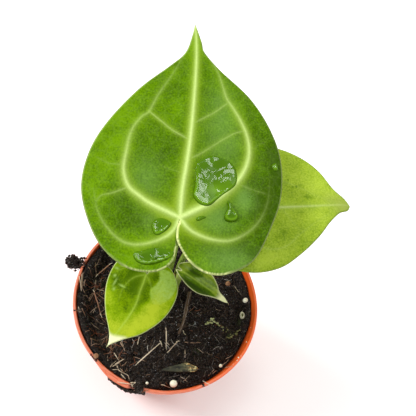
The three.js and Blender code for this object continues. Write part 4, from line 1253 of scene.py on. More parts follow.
def pot():
    """The thin nursery pot: its wall as a turned shell, its floor as a pierced plate."""
    profile = fine_profile(pot_profile(), 0.2, 1.6)

    def bent(ring, angle):
        """The lip is out of round, and pressed outwards and creased at the front left."""
        turn = math.degrees(angle) % 360
        press = float(between(turn, *LIP_PRESS))
        ring = ring.copy()
        share = smooth(POT["height"] - 4, POT["height"] - 1, ring[:, 1])
        out = smooth(POT["lip_radius"] - 1.4, POT["lip_radius"], ring[:, 0])
        crease = 0.2 * np.sin(9 * ring[:, 0] + 0.8 * math.sin(7 * angle)) * out
        ring[:, 0] += share * press * (0.1 + 1.15 * out)
        ring[:, 0] += share * (sum(size * bump(turn, *where) for *where, size in LIP_BUMPS) - 0.04)
        ring[:, 1] -= press * share * (0.1 + 0.55 * out - crease)
        return ring

    points, faces = turned(profile, POT_SIDES, bent)
    angle = np.degrees(np.arctan2(points[:, 1], points[:, 0])) % 360
    radius = np.hypot(points[:, 0], points[:, 1])
    collar = POT["height"] - POT["lip_height"]
    outer = np.interp(points[:, 2], (0, POT["shoulder"], POT["collar_foot"], collar, collar + 0.2),
                      (POT["base_radius"], POT["shoulder_radius"], POT["collar_foot_radius"],
                       POT["collar_top_radius"], POT["lip_radius"]))
    gap = np.where(points[:, 2] > collar + 0.1, 1.15, 0.5 * POT["wall"])
    inner = (radius < outer - gap) & (points[:, 2] < POT["height"] - 0.4)
    # Dirt marks on the wall, and painted shade on the inner wall at the left and front
    marks = sum(amount * np.exp(-((angle - turn) / width) ** 2) for turn, width, amount in WALL_MARKS)
    near = between(angle, 60, 130, 290, 330)
    dirt_and_shade = np.clip(0.2 + marks * smooth(54, 57, points[:, 2]) + 0.5 * inner * near, 0, 1)
    # Painted highlight and shade lines on the lip top, fewer on the right, where the lip is painted a
    # brighter orange as painted light
    painted_light_side = bump(angle, *PAINTED_LIGHT_SIDE)
    lip_painted_light_and_shade = smooth(POT["height"] - 2.0, POT["height"] - 0.6, points[:, 2]) * (1 - inner)
    lip_painted_light_and_shade = lip_painted_light_and_shade * (1 - 0.7 * painted_light_side)
    painted_light_orange = smooth(POT["height"] - 3.0, POT["height"] - 0.8, points[:, 2]) * 0.8 * painted_light_side
    run = np.column_stack([points[:, 0] * 0.22, points[:, 1] * 0.22, radius * 2.4 - points[:, 2]])
    make("pot_wall", points, faces, ["pot"], MATERIAL["pot"],
         dict(dirt_and_shade=dirt_and_shade, lip_painted_light_and_shade=lip_painted_light_and_shade, painted_light_orange=painted_light_orange, run=run))
    plate()


def plate():
    """The pot's floor, with its ring of drainage holes."""
    radius = DRAIN["ring_radius"] + 5
    loop = circle(radius, 192)
    grid = hexagons((-radius, -radius), (radius, radius), 2.0)
    grid = grid[np.hypot(*grid.T) < radius - 0.8]
    holes = []
    for i in range(DRAIN["holes"]):
        turn = math.tau * i / DRAIN["holes"]
        centre = np.array([math.cos(turn), math.sin(turn)]) * DRAIN["ring_radius"]
        holes.append((centre, centre + circle(DRAIN["radius"], 32)))
        grid = grid[np.hypot(*(grid - centre).T) > DRAIN["radius"] + 0.7]
    flat, triangles = triangulate(loop, np.vstack([ring for _, ring in holes] + [grid]))
    middle = flat[triangles].mean(axis=1)
    keep = np.ones(len(triangles), bool)
    for centre, _ in holes:
        keep &= np.hypot(*(middle - centre).T) > DRAIN["radius"] * 0.985
    triangles = triangles[keep]
    seen = {tuple(side) for side in sides_of(triangles).tolist()}
    border = [(a, b) for a, b in seen if (b, a) not in seen]
    count = len(flat)
    low = np.column_stack([flat, np.zeros(count)])
    high = np.column_stack([flat, np.full(count, POT["floor"])])
    faces = [tuple(t[::-1]) for t in triangles.tolist()] + [tuple(t) for t in (triangles + count).tolist()]
    faces += [(a, b, b + count, a + count) for a, b in border]
    make("pot_floor", np.vstack([low, high]), faces, ["pot"], MATERIAL["pot"],
         dict(dirt_and_shade=np.full(2 * count, 0.4)))


# Soil

def soil_top(x, y):
    """Height of the soil's clods, as in the part's source."""
    out = np.hypot(x, y) / SOIL["edge"]
    clods = (np.sin(0.52 * x + 1.4 * np.sin(0.23 * y)) * np.cos(0.47 * y - 1.2 * np.sin(0.19 * x))
             + 0.5 * np.sin(0.83 * y + 0.4 * x + 1) * np.sin(0.71 * x - 0.3 * y))
    return SOIL["top"] + SOIL["dome"] * (1 - out * out) + SOIL["clod"] * clods


def crumbs(points):
    """Fine relief of the soil's surface."""
    result = []
    for x, y in points.tolist():
        p = Vector((x, y, 0))
        far = noise.voronoi(p * 0.36)[0]
        tiny = noise.voronoi(p * 0.95)[0]
        rough = noise.fractal(p * 0.8, 0.7, 2.1, 5)
        clods = 1.2 * min(far[1] - far[0], 0.7) + 0.55 * min(tiny[1] - tiny[0], 0.6)
        result.append(clods + 0.6 * rough - 0.85)
    return np.array(result)


def bank(points):
    """How far the mix is heaped against the wall, which it is on the left and far on the right."""
    turn = np.degrees(np.arctan2(points[:, 1], points[:, 0])) % 360
    *left, more = BANK_LEFT
    start, full, still, end = BANK_RIGHT
    heaped = more * between(turn, *left) + smooth(start, full, turn) + (1 - smooth(still, end, turn))
    return heaped * smooth(SOIL["edge"] - 4, SOIL["edge"] - 0.2, np.hypot(*points.T))


def soil_height(points):
    """Height of the mix with its crumbs and the banks against the wall."""
    edge = smooth(SOIL["edge"] - 2.2, SOIL["edge"], np.hypot(*points.T))
    heap = bank(points)
    calm = 1 - 0.5 * np.clip(heap, 0, 1)
    plain = soil_top(points[:, 0], points[:, 1]) + crumbs(points) * calm
    return plain + BANK_HEIGHT * heap - 0.9 * edge * np.clip(1 - heap, 0, 1)


def soil_material():
    s = Shader("potting_soil")
    place = s.place()
    fine = s.noise(place, 1100.0, 4.0, 0.75)
    thread = s.add("ShaderNodeTexWave", {
        "Vector": place, "Scale": 260.0, "Distortion": 22.0, "Detail": 4.0, "Detail Scale": 1.6,
        "Detail Roughness": 0.7}).outputs["Fac"]
    colour = s.mix(s.noise(place, 160.0, 5.0, 0.7), "#030303", "#16120f")
    # Grey specks: painted glints of the wet mix
    colour = s.mix(s.spots(s.noise(place, 1500.0, 2.0, 0.6), 0.6, 0.67, 0.85), colour, "#807e7c")
    colour = s.mix(s.spots(fine, 0.58, 0.72, 0.6, 0.8), colour, "#33261f")
    colour = s.mix(s.spots(thread, 0.86, 0.95, 0.6, 0.7), colour, "#5c4a40")
    colour = s.mix(s.attribute("tint"), colour, "#54402f")
    green = s.math("MULTIPLY", s.attribute("moss"), s.noise(place, 700.0, 3.0))
    colour = s.mix(s.spots(green, 0.35, 0.55, 0.7, 0.9), colour, "#3d4424")
    # Painted glints: near-white on the crumbs that carry them
    colour = s.mix(s.attribute("glint"), colour, "#dfe2e4")
    wet = s.steps(s.noise(place, 350.0, 3.0), (0, 0.25), (0.42, 0.4), (0.55, 0.85), (1, 0.95))
    return s.finish(colour, wet, 0.2, s.math("ADD", fine, s.scaled(thread, 0.4)), 0.0006, 0.9)


def soil():
    """The potting mix: a body that fills the pot, with a crumbly top."""
    edge = SOIL["edge"]
    loop = circle(edge, SOIL_SIDES)
    grid = hexagons((-edge, -edge), (edge, edge), SOIL_STEP)
    grid = grid[np.hypot(*grid.T) < edge - 0.3]
    flat, triangles = triangulate(loop, grid)
    height = soil_height(flat)
    radius = np.hypot(*flat.T)
    rim = radius > edge - 0.01
    order = np.where(rim)[0][np.argsort(np.arctan2(flat[rim, 1], flat[rim, 0]))]
    heaped = bank(flat) * smooth(edge - 1.6, edge, radius)
    top = np.column_stack([flat * (1 + 0.75 * heaped / edge)[:, None], height])
    wall = POT["wall"] + CLEAR
    levels = [(POT["collar_foot_radius"] - wall, POT["collar_foot"] + 0.8),
              (POT["shoulder_radius"] - wall, POT["shoulder"] + 0.5),
              (POT["base_radius"] - wall, POT["floor"] + CLEAR)]
    way = flat[order] / edge
    rings = [np.column_stack([way * r, np.full(len(order), z)]) for r, z in levels]
    points = np.vstack([top] + rings)
    faces = [tuple(t) for t in triangles.tolist()]
    count = len(order)
    starts = [order] + [len(top) + count * k + np.arange(count) for k in range(len(levels))]
    for upper, lower in zip(starts, starts[1:]):
        for i in range(count):
            j = (i + 1) % count
            faces.append((upper[j], upper[i], lower[i], lower[j]))
    faces.append(tuple(starts[-1][::-1].tolist()))
    make("soil_mix", points, faces, ["soil"], MATERIAL["soil"],
         dict(moss=moss_at(points), tint=np.zeros(len(points)), glint=np.zeros(len(points))))


def moss_at(points):
    """How mossy the mix is at each point."""
    moss = np.zeros(len(points))
    for x, y, size in MOSS:
        moss = np.maximum(moss, np.exp(-((points[:, 0] - x) ** 2 + (points[:, 1] - y) ** 2) / size ** 2))
    return moss


def scattered(rng, margin):
    """A random place on the soil."""
    radius = (SOIL["edge"] - margin) * math.sqrt(rng.random())
    angle = math.tau * rng.random()
    return np.array([radius * math.cos(angle), radius * math.sin(angle)])


def loose_crumbs():
    """Clods, grains, tufts of moss and specks painted near-white as glints, scattered over the soil."""
    rng = np.random.default_rng(11)
    shapes = [lump(1.0, 3.0 * k, 2, 0.5) for k in range(14)]
    parts = []
    for k in range(CRUMBS):
        wet = k < PAINTED_GLINT_CRUMBS
        here = scattered(rng, 1.0)
        if k < GLINT_CRUMBS_AT_WET_SPOTS:
            here = np.array(WET_SPOTS[k % len(WET_SPOTS)]) + rng.normal(scale=3.5, size=2)
        size = (0.09 + 0.17 * rng.random()) if wet else 0.2 + 0.85 * rng.random() ** 3
        points, faces = shapes[rng.integers(len(shapes))]
        turn = np.linalg.qr(rng.normal(size=(3, 3)))[0]
        stretch = np.array([1, 0.6 + 0.5 * rng.random(), 0.45 + 0.5 * rng.random()])
        place = (points * stretch * size) @ turn.T
        place = place + [*here, float(soil_height(here[None, :])[0]) + (0.5 if wet else 0.25) * size]
        moss = float(moss_at(here[None, :])[0]) if size < 0.5 else 0.0
        # The small wet crumbs are painted near-white as glints
        looks = dict(tint=0.5 * rng.random() ** 4, moss=moss, glint=0.8 if wet else 0.0)
        parts.append((place, faces, looks))
    join("soil_crumbs", parts, (), MATERIAL["soil"])


def fibre_material():
    s = Shader("fibre")
    streak = s.noise(s.place(), 900.0, 3.0, 0.7)
    tint = s.attribute("tint")
    colour = s.mix(s.scaled(tint, 2.4, clamp=True), "#0d0907", "#5f4a36")
    pale = s.math("SUBTRACT", tint, 0.42, True)
    colour = s.mix(s.scaled(pale, 1.8, clamp=True), colour, "#efe6da")
    colour = s.mix(s.scaled(streak, 0.35), colour, "#3f2a1c")
    return s.finish(colour, 0.6, 0.25, streak, 0.0002, 0.6)


def strand(line, size, lift):
    """A fibre along a flat line on the soil, with its free end raised."""
    count = len(line)
    high = soil_height(line)
    high = np.maximum(high, np.convolve(np.pad(high, 1, mode="edge"), [0.33, 0.34, 0.33], "valid"))
    share = np.linspace(0, 1, count)
    path = np.column_stack([line, high + 0.8 * size + 0.05 + lift * share ** 2])
    return tube(path, size * (1 - 0.5 * share ** 2), 3)


def fibres():
    """Coir fibres and rootlets that lie over the soil."""
    rng = np.random.default_rng(23)
    parts = []
    for k in range(FIBRES):
        short = k % 2 == 0
        start = scattered(rng, 0.8)
        heading = math.tau * rng.random()
        length = 0.8 + 2.4 * rng.random() if short else 2 + 7 * rng.random() ** 2
        steps = 4 if short else 7
        line = wander(start, heading, length / steps, rng.normal(scale=0.35, size=steps - 1))
        if np.hypot(*line.T).max() > SOIL["edge"] - 0.5:
            continue
        size = 0.05 + 0.09 * rng.random() ** 2
        bright = rng.random()
        tint = 0.16 * rng.random() if bright < 0.7 else 0.18 + (0.4 if short else 0.75) * rng.random() ** 2
        parts.append((*strand(line, size, 0.8 * rng.random() ** 2), dict(tint=tint)))
    join("soil_fibres", parts, (), MATERIAL["fibre"])


def plain_strands():
    """The straws and fibres that show plainly, and loose ones mostly on the bank at the left."""
    rng = np.random.default_rng(3)
    parts = []
    for route, size, tint in STRANDS:
        line = spline(route, 0.4)
        line = line + 0.12 * np.column_stack([waves(line, 1.5, 1.0), waves(line, 1.5, 5.0)])
        parts.append((*strand(line, size, 0.5 * rng.random()), dict(tint=tint)))
    for k in range(LOOSE_STRANDS):
        on_bank = k % 3 > 0
        turn = rng.uniform(148, 242) if on_bank else rng.uniform(0, 360)
        spot = polar(rng.uniform(24, 36) if on_bank else 36 * rng.random() ** 0.5, turn, 0)[:2]
        heading = math.tau * rng.random()
        length = rng.uniform(1.5, 6.5) * (1 if on_bank else 0.7)
        line = wander(spot, heading, length / 6, rng.normal(scale=0.16, size=6))
        size = rng.uniform(0.07, 0.17)
        if np.hypot(*line.T).max() < SOIL["edge"] - 0.2:
            parts.append((*strand(line, size, rng.random()), dict(tint=0.75 * rng.random() ** 3)))
    join("soil_straws", parts, (), MATERIAL["straw"])


# Stem and petioles

def centripetal(points, step):
    """Even points on the centripetal curve through the given ones, as in the part's source."""
    p = np.asarray(points, float)
    p = np.vstack([2 * p[0] - p[1], p, 2 * p[-1] - p[-2]])
    t = np.linspace(0, 1, 40, endpoint=False)[:, None]
    parts = []
    for p0, p1, p2, p3 in zip(p, p[1:], p[2:], p[3:]):
        a, b, c = (np.linalg.norm(end - start) ** 0.5 for start, end in ((p0, p1), (p1, p2), (p2, p3)))
        v1 = ((p1 - p0) / a - (p2 - p0) / (a + b) + (p2 - p1) / b) * b
        v2 = ((p2 - p1) / b - (p3 - p1) / (b + c) + (p3 - p2) / c) * b
        parts.append(p1 + v1 * t + (3 * p2 - 3 * p1 - 2 * v1 - v2) * t ** 2
                     + (2 * p1 - 2 * p2 + v1 + v2) * t ** 3)
    return even(np.vstack(parts + [p[-2:-1]]), step)


def petiole(name, route):
    """A stalk with a grooved side, a sheath at its foot and a swollen joint under the blade."""
    form = BLADES[route["blade"]]
    head, inside_blade = blade_point(form, np.zeros(2), np.zeros(2), np.array([-RIDGE, -0.4]))
    foot = np.array([*route["foot"], STEM["top"] + CLEAR])
    path = centripetal([foot, foot + (0, 0, 4), *route["bends"], head], 0.6)
    path = np.vstack([foot - (0, 0, 0.6), path, inside_blade])
    run = length_along(path)
    length = run[-1]
    joint = smooth(length - STALK["joint_length"] - 1.5, length - STALK["joint_length"] + 0.8, run)
    sheath_end = min(0.35 * length, 12)
    sheath = 1 - smooth(0.9 * sheath_end, sheath_end, run)
    radius = (STALK["radius"] + (STALK["joint_radius"] - STALK["radius"]) * joint
              + (STALK["sheath_radius"] - STALK["radius"]) * sheath)
    radius = radius * (1 + 0.02 * np.sin(run * 1.7) * (1 - joint))
    radius = radius - 0.25 * smooth(length - 0.8, length, run)
    points, faces = tube(path, radius, 28, 7, 0.025)
    points += 0.03 * waves(points, 1.2, 4.0)[:, None]
    share = np.concatenate([np.repeat(run, 28), run[[0, -1]]])
    make(name + "_stalk", points, faces, [name], MATERIAL["petiole"],
         dict(joint=smooth(length - 7, length - 3, share), foot=1 - smooth(4, sheath_end + 4, share)))


def petiole_material():
    s = Shader("petiole_tissue")
    streak = s.noise(s.stretched((1, 1, 0.12)), 1500.0, 3.0, 0.6)
    colour = s.mix(streak, "#5f7c22", "#8ba03c")
    colour = s.mix(s.scaled(s.attribute("joint"), 0.8), colour, "#9fb054")
    colour = s.mix(s.scaled(s.attribute("foot"), 0.75), colour, "#8a6a3a")
    fleck = s.steps(s.cells(s.place(), 1100.0), (0, 0.6), (0.16, 0.5), (0.24, 0), (1, 0))
    colour = s.mix(fleck, colour, "#b9c48a")
    return s.finish(colour, s.scaled(streak, 0.2, 0.36), 0.35, streak, 0.00015, 0.6)


def stem_material():
    s = Shader("stem_tissue")
    cloud = s.noise(s.place(), 500.0, 5.0, 0.7)
    colour = s.mix(cloud, "#3d2d1c", "#7d6a3c")
    scars = s.spots(s.noise(s.place(), 1400.0, 3.0), 0.55, 0.7, 0.7, 0.8)
    colour = s.mix(scars, colour, "#a08a5c")
    return s.finish(colour, 0.75, 0.3, cloud, 0.0005, 0.9)


def stem():
    """The rootstock: leaf scars in rings, and stubs of thick roots that go down into the soil."""
    heights, reaches = np.array(STEM_PROFILE).T
    z = np.arange(STEM["foot"], STEM["top"] + 0.2, 0.3)
    path = np.column_stack([np.full(len(z), STEM["x"]), np.full(len(z), STEM["y"]), z])
    points, faces = tube(path, np.interp(z, heights, reaches), 48)
    middle = np.array([STEM["x"], STEM["y"], 0])
    out = (points - middle) * (1, 1, 0)
    bumps = 0.09 * waves(points, 1.6, 2.0) + 0.05 * waves(points, 0.6, 5.0)
    points = points + out * bumps[:, None]
    parts = [(points, faces, {})]
    for i in range(5):
        angle = math.tau * i / 5 + 0.3
        way = np.array([math.cos(angle), math.sin(angle)])
        route = [np.append(middle[:2] + way * reach, height) for reach, height in ROOT_ROUTE]
        root = centripetal(route, 0.6)
        parts.append((*tube(root, 0.8 + 0.05 * np.sin(np.arange(len(root))), 12), {}))
    join("stem_crown", parts, ["stem"], MATERIAL["stem"])


def sheath_material():
    s = Shader("dry_sheath")
    streak = s.noise(s.stretched((1, 1, 0.1)), 2600.0, 4.0, 0.7)
    colour = s.mix(streak, "#6d4a1e", "#c79f4c")
    colour = s.mix(s.spots(s.noise(s.place(), 700.0), 0.5, 0.7, 0.8), colour, "#d8b765")
    return s.finish(colour, 0.6, 0.3, streak, 0.0003, 0.8)


def cataphyll():
    """The dry scale at the foot of the young petiole: narrow, pointed, curved across and creased."""
    section = [(-1, 0.25), (-0.5, 0), (0, -0.12), (0.5, 0), (1, 0.25), (0.5, 0.36), (0, 0.3), (-0.5, 0.36)]
    across = np.array([1, 1, 0]) / math.sqrt(2)
    outward = np.array([-1, 1, 0]) / math.sqrt(2)
    start = np.array([*CATAPHYLL["foot"], STEM["top"] + CLEAR])
    end = np.array(CATAPHYLL["tip"])
    side, out = spline(section, 0.16, closed=True)[:-1].T
    rings = []
    for along in np.linspace(0, 1, 44):
        width = CATAPHYLL["half_width"] * (1 - 0.8 * along ** 2)
        crease = 0.05 * np.sin(9 * side + 4 * along) + 0.06 * math.sin(23 * along)
        ring = start + (end - start) * along + np.outer(side * width, across)
        rings.append(ring + np.outer(out * (width + CATAPHYLL["thickness"]) + crease, outward))
    points, faces = skin(rings, np.array([rings[0].mean(axis=0), rings[-1].mean(axis=0)]))
    make("cataphyll_scale", points, faces, ["cataphyll"], MATERIAL["sheath"])


# Loose things on the soil

def seat(x, y, reach):
    """Height at which a thing of a given reach lies, as in the part's source."""
    turn = np.arange(12) * math.pi / 6
    dx, dy = (np.outer([0, 0.5, 1], reach * way).ravel() for way in (np.cos(turn), np.sin(turn)))
    return float(soil_top(x + dx, y + dy).max()) + SEAT


def dead_root():
    """A shrivelled root: knotted, with wrinkles along it and a few rootlets."""
    radius = DEAD_ROOT["radius"]
    path = centripetal([(x, y, seat(x, y, 2.6) + radius) for x, y in DEAD_ROOT["path"]], 0.25)
    run = length_along(path)
    knots = 1 + 0.12 * np.sin(run * 1.1) + 0.08 * np.sin(run * 2.7 + 1)
    size = radius * knots * (1 - 0.35 * run / run[-1])
    parts = [(*tube(path, size, 14, 4, 0.12), dict(tint=0.4))]
    rng = np.random.default_rng(5)
    across = np.array([0.93, 0.36, 0.0])
    for shift, first, last, tint in ROOTLETS:
        part = path[int(first * len(path)):int(last * len(path))]
        part = part + np.outer(shift * (0.7 + 0.5 * waves(part, 4.0, shift)), across) + (0, 0, 0.08)
        parts.append((*tube(part, np.full(len(part), 0.17), 6), dict(tint=tint)))
    for share in (0.2, 0.42, 0.6, 0.8):
        start = path[int(share * len(path))]
        way = rng.normal(size=3) * (1, 0.5, 0.05)
        way /= np.linalg.norm(way)
        line = np.array([start + way * k * 0.5 + (0, 0, -0.05 * k) for k in range(7)])
        parts.append((*tube(line, 0.12 * (1 - 0.1 * np.arange(7)), 6), dict(tint=0.4)))
    points, faces, attributes = gather(parts)
    points += 0.05 * waves(points, 0.7, 1.0)[:, None]
    make("dead_root_fibre", points, faces, ["dead_root"], MATERIAL["fibre"], attributes)


def bark_material():
    s = Shader("bark")
    place = s.place()
    streak = s.noise(s.stretched((0.25, 1, 1)), 900.0, 4.0, 0.7)
    colour = s.mix(s.steps(streak, (0, 0), (0.4, 0.1), (0.62, 0.9), (1, 1)), "#0f100b", "#6a6a4e")
    colour = s.mix(s.spots(s.noise(place, 620.0, 3.0), 0.56, 0.68, 0.7, 0.8), colour, "#85805c")
    colour = s.mix(s.attribute("deep"), colour, "#12140f")
    resin = s.mix(s.spots(s.noise(place, 900.0), 0.4, 0.6, 1), "#b0701c", "#f2e6a4")
    colour = s.mix(s.attribute("gold"), colour, resin)
    return s.finish(colour, 0.6, 0.4, streak, 0.0005, 0.9)


def bark_chip():
    """A torn chip of bark: layered on top, frayed at the edge, with gold resin at one end."""
    loop = spline(BARK["outline"], 0.22, closed=True)[:-1]
    loop = loop + 0.12 * np.column_stack([waves(loop, 0.8, 2.0), waves(loop, 0.8, 6.0)])
    grid = hexagons(loop.min(axis=0), loop.max(axis=0), 0.22)
    grid = grid[inside(grid, loop)]
    grid = grid[nearest(grid, loop)[0] > 0.12]
    flat, triangles = triangulate(loop, grid)
    edge = to_edge(flat, loop)
    rim = edge < 1e-6
    body = np.sqrt(1 - (1 - np.clip(edge / 0.5, 0, 1)) ** 2)
    layers = np.floor(3.5 * (0.5 + 0.5 * waves(flat * (0.35, 1.6), 1.0, 8.0))) / 3.5
    ribs = 0.12 * waves(flat * (0.3, 2.2), 0.8, 3.0)
    middle = BARK["thickness"] / 2
    top = middle + body * (middle - 0.45 + 0.45 * layers + ribs)
    low = middle - body * (middle - 0.1 + 0.1 * ribs)
    inner, faces = shell(rim, triangles)
    turn = math.radians(BARK["turn"])
    spin = np.array([[math.cos(turn), math.sin(turn)], [-math.sin(turn), math.cos(turn)]])
    place = flat @ spin + (BARK["x"], BARK["y"])
    height = max(seat(BARK["x"] + x, BARK["y"] + y, 2) for x, y in BARK["outline"])
    points = np.column_stack([np.vstack([place, place[inner]]), height + np.concatenate([top, low[inner]])])
    gold = np.clip(patches(flat, [(6.2, -0.5, 1.9, 1.3, 2.2), (3.4, 1.8, 1.0, 0.7, 2.0)]), 0, 1)
    gold = gold * smooth(-0.2, 0.3, waves(flat, 0.7, 5.0))
    deep = 0.75 * (1 - smooth(-3, 5, flat[:, 0])) * (0.8 + 0.4 * waves(flat * (0.4, 1.6), 1.4, 4.0))
    deep = np.clip(deep, 0, 1)
    make("bark_flake", points, faces, ["bark_chip"], MATERIAL["bark"],
         dict(gold=np.concatenate([gold, gold[inner]]), deep=np.concatenate([deep, deep[inner]])))


def grain_material(name, light, dark, rough):
    s = Shader(name)
    place = s.place()
    cloud = s.noise(place, 900.0, 4.0, 0.6)
    colour = s.mix(s.steps(cloud, (0, 0), (0.35, 0.05), (0.7, 0.9), (1, 1)), light, dark)
    colour = s.mix(s.attribute("hollow"), colour, "#6d6a3a")
    return s.finish(colour, s.scaled(cloud, 0.2, rough), 0.4, s.noise(place, 2500.0, 3.0), 0.0001, 0.7)


def grains():
    """Beads of fertiliser, one hollow prill and two grains of grit."""
    for k, (name, (x, y, radius)) in enumerate(BEADS.items()):
        points, faces = lump(radius, 20.0 + k, 4, 0.03)
        height = seat(x, y, radius) + radius
        away = (points[:, 0] - 0.2 * radius) ** 2 + points[:, 1] ** 2
        dent = np.exp(-away / (0.2 * radius) ** 2) * (points[:, 2] > 0)
        points = points * (1 - 0.12 * dent)[:, None]
        make(name + "_ball", points + (x, y, height), faces, [name], MATERIAL["bead"],
             dict(hollow=0.5 * dent))
    radius = PRILL["radius"]
    points, faces = lump(radius, 31.0, 4, 0.05)
    points = points * (1, PRILL["stretch"], 1)
    out = np.hypot(points[:, 0] / 0.55, points[:, 1] / 0.95) / radius
    hollow = (1 - smooth(0.45, 0.95, out)) * (points[:, 2] > 0)
    points[:, 2] -= 0.9 * radius * hollow
    dark = np.clip(0.5 + 0.25 * waves(points, 1.1, 2.0) + 0.6 * hollow, 0, 1)
    height = seat(PRILL["x"], PRILL["y"], radius * PRILL["stretch"]) + radius
    make("fertiliser_prill_shell", points + (PRILL["x"], PRILL["y"], height), faces,
         ["fertiliser_prill"], MATERIAL["bead"], dict(hollow=dark))
    for k, (name, (x, y, radius, foot)) in enumerate(GRIT.items()):
        points, faces = lump(radius * 0.95, 40.0 + 3 * k, 4, 0.22)
        height = (seat(x, y, radius) if foot is None else foot) + radius
        make(name + "_grain", points + (x, y, height), faces, [name], MATERIAL["grit"],
             dict(hollow=np.zeros(len(points))))


def straw_material():
    s = Shader("straw")
    streak = s.noise(s.place(), 1800.0, 3.0, 0.7)
    colour = s.mix(s.attribute("tint"), "#8a4a26", "#fff0d0")
    colour = s.mix(s.scaled(streak, 0.25), colour, "#6b4024")
    return s.finish(colour, 0.5, 0.4, streak, 0.0002, 0.7)


def straw_path(ends):
    (x0, y0), (x1, y1) = ends
    length = math.hypot(x1 - x0, y1 - y0)
    middle = ((x0 + x1) / 2, (y0 + y1) / 2)
    heights = [seat(x0, y0, 1), seat(*middle, length / 3), seat(x1, y1, 1)]
    heights[1] = max(heights[1], (heights[0] + heights[2]) / 2)
    places = [(x0, y0), middle, (x1, y1)]
    return centripetal([(*place, height + STRAW_RADIUS) for place, height in zip(places, heights)], 0.3)


def straws():
    """Flattened straws with split ends."""
    rng = np.random.default_rng(17)
    for k, (name, (*ends, tint)) in enumerate(STRAWS.items()):
        path = straw_path(ends)
        share = np.linspace(0, 1, len(path))
        size = STRAW_RADIUS * (0.56 + 0.14 * np.sin(5 * share + k)) * (1 - 0.5 * (2 * share - 1) ** 8)
        parts = [(*tube(path, size, 10, 3, 0.1, 0.75), dict(tint=tint))]
        for end, before in ((path[0], path[3]), (path[-1], path[-4])):
            for _ in range(2):
                way = (end - before) / np.linalg.norm(end - before)
                way = way + rng.normal(scale=0.22, size=3) * (1, 1, 0.4)
                line = np.array([end + way * 0.25 * step for step in range(-2, 5)])
                parts.append((*tube(line, np.linspace(0.16, 0.05, 7), 5), dict(tint=0.8)))
        join(name + "_stalk", parts, [name], MATERIAL["straw"])


# Dirt on the lip

def clod(middles, sizes, seed, rough=0.45):
    """A clod built up of uneven crumbs."""
    parts = []
    for k, (middle, size) in enumerate(zip(middles, sizes)):
        points, faces = lump(size, seed + 2.3 * k, 3, rough)
        parts.append((points + middle, faces, dict(tint=0.06 + 0.05 * (k % 3), moss=0.0, glint=0.0)))
    return parts


def left_clod(rng):
    """The clod at the left of the lip: crumbs round a core, a bridge to the lip and short fibres."""
    radius = CLUMP_LEFT["radius"]
    angle = CLUMP_LEFT["angle"]
    middle = polar(POT["lip_radius"] + CLEAR + radius * 1.12, angle, CLUMP_LEFT["z"])
    count = CLUMP_LEFT["crumbs"]
    shifts = rng.normal(size=(count, 3))
    shifts *= (rng.random(count) ** 0.33 / np.linalg.norm(shifts, axis=1))[:, None]
    places = middle + shifts * radius * (0.86, 0.86, 0.72)
    parts = clod(places, 0.2 + 0.7 * rng.random(count) ** 2, 3.0, 0.6)
    parts += clod([middle], [radius * 0.66], 9.0, 0.35)
    bridge = [polar(rng.uniform(39.8, 42.4), angle + 2.0 * rng.normal(), rng.uniform(55.2, 58.1))
              for _ in range(CLUMP_LEFT["bridge"])]
    parts += clod(bridge, 0.2 + 0.45 * rng.random(len(bridge)), 13.0, 0.6)
    for _ in range(CLUMP_LEFT["fibres"]):
        way = rng.normal(size=3)
        way *= 1 / np.linalg.norm(way)
        reach = radius * rng.uniform(0.95, 1.16)
        line = [middle + way * reach * k / 4 + rng.normal(scale=0.12, size=3) for k in range(1, 5)]
        parts.append((*tube(np.array(line), np.full(4, 0.09), 4), dict(tint=0.0, moss=0.0, glint=0.0)))
    join("rim_clump_left_clod", parts, ["rim_clump_left"], MATERIAL["soil"])


def front_clod(rng):
    """The smear of mix under the lip at the front, thickest in its middle."""
    start = CLUMP_FRONT["start"]
    end = CLUMP_FRONT["end"]
    places = []
    for turn in np.linspace(start + 2, end + 2, CLUMP_FRONT["crumbs"]):
        share = (turn - start) / (end - start)
        size = CLUMP_FRONT["radius"] * (0.35 + 0.65 * math.sin(math.pi * min(share, 1)))
        out = POT["collar_top_radius"] + CLEAR + size + size * rng.uniform(-0.6, 0.5)
        places.append(polar(out, turn, CLUMP_FRONT["z"] + 1.1 * size * rng.uniform(-1, 1)))
    parts = clod(places, 0.3 + 0.45 * rng.random(len(places)), 5.0)
    places = []
    for turn in np.linspace(SMEAR["start"], SMEAR["end"], SMEAR["crumbs"]):
        share = (turn - SMEAR["start"] + 2) / (SMEAR["end"] - SMEAR["start"] + 4)
        bulge = SMEAR["bulge"] * math.sin(math.pi * share)
        far = SMEAR["radius"] + bulge + 0.25 * rng.normal()
        out = min(far, SMEAR["front"] / abs(math.sin(math.radians(turn))))
        places.append(polar(out, turn, rng.uniform(SMEAR["low"], SMEAR["high"])))
    parts += clod(places, 0.2 + 0.4 * rng.random(len(places)), 15.0)
    join("rim_clump_front_clod", parts, ["rim_clump_front"], MATERIAL["soil"])


def rim_crumb(rng):
    """The crumb on the lip at the front."""
    radius = RIM_CRUMB["radius"]
    middle = polar(POT["lip_radius"] - POT["lip_width"] / 2, RIM_CRUMB["angle"],
                   POT["height"] + CLEAR + radius * 0.6)
    shifts = rng.normal(size=(RIM_CRUMB["crumbs"], 3))
    shifts *= (0.8 / np.linalg.norm(shifts, axis=1))[:, None]
    parts = clod(middle + shifts * radius * (1.3, 1.5, 0.7), 0.2 + 0.45 * rng.random(len(shifts)), 7.0)
    parts += clod([middle], [radius * 0.7], 11.0, 0.3)
    join("rim_crumb_clod", parts, ["rim_crumb"], MATERIAL["soil"])


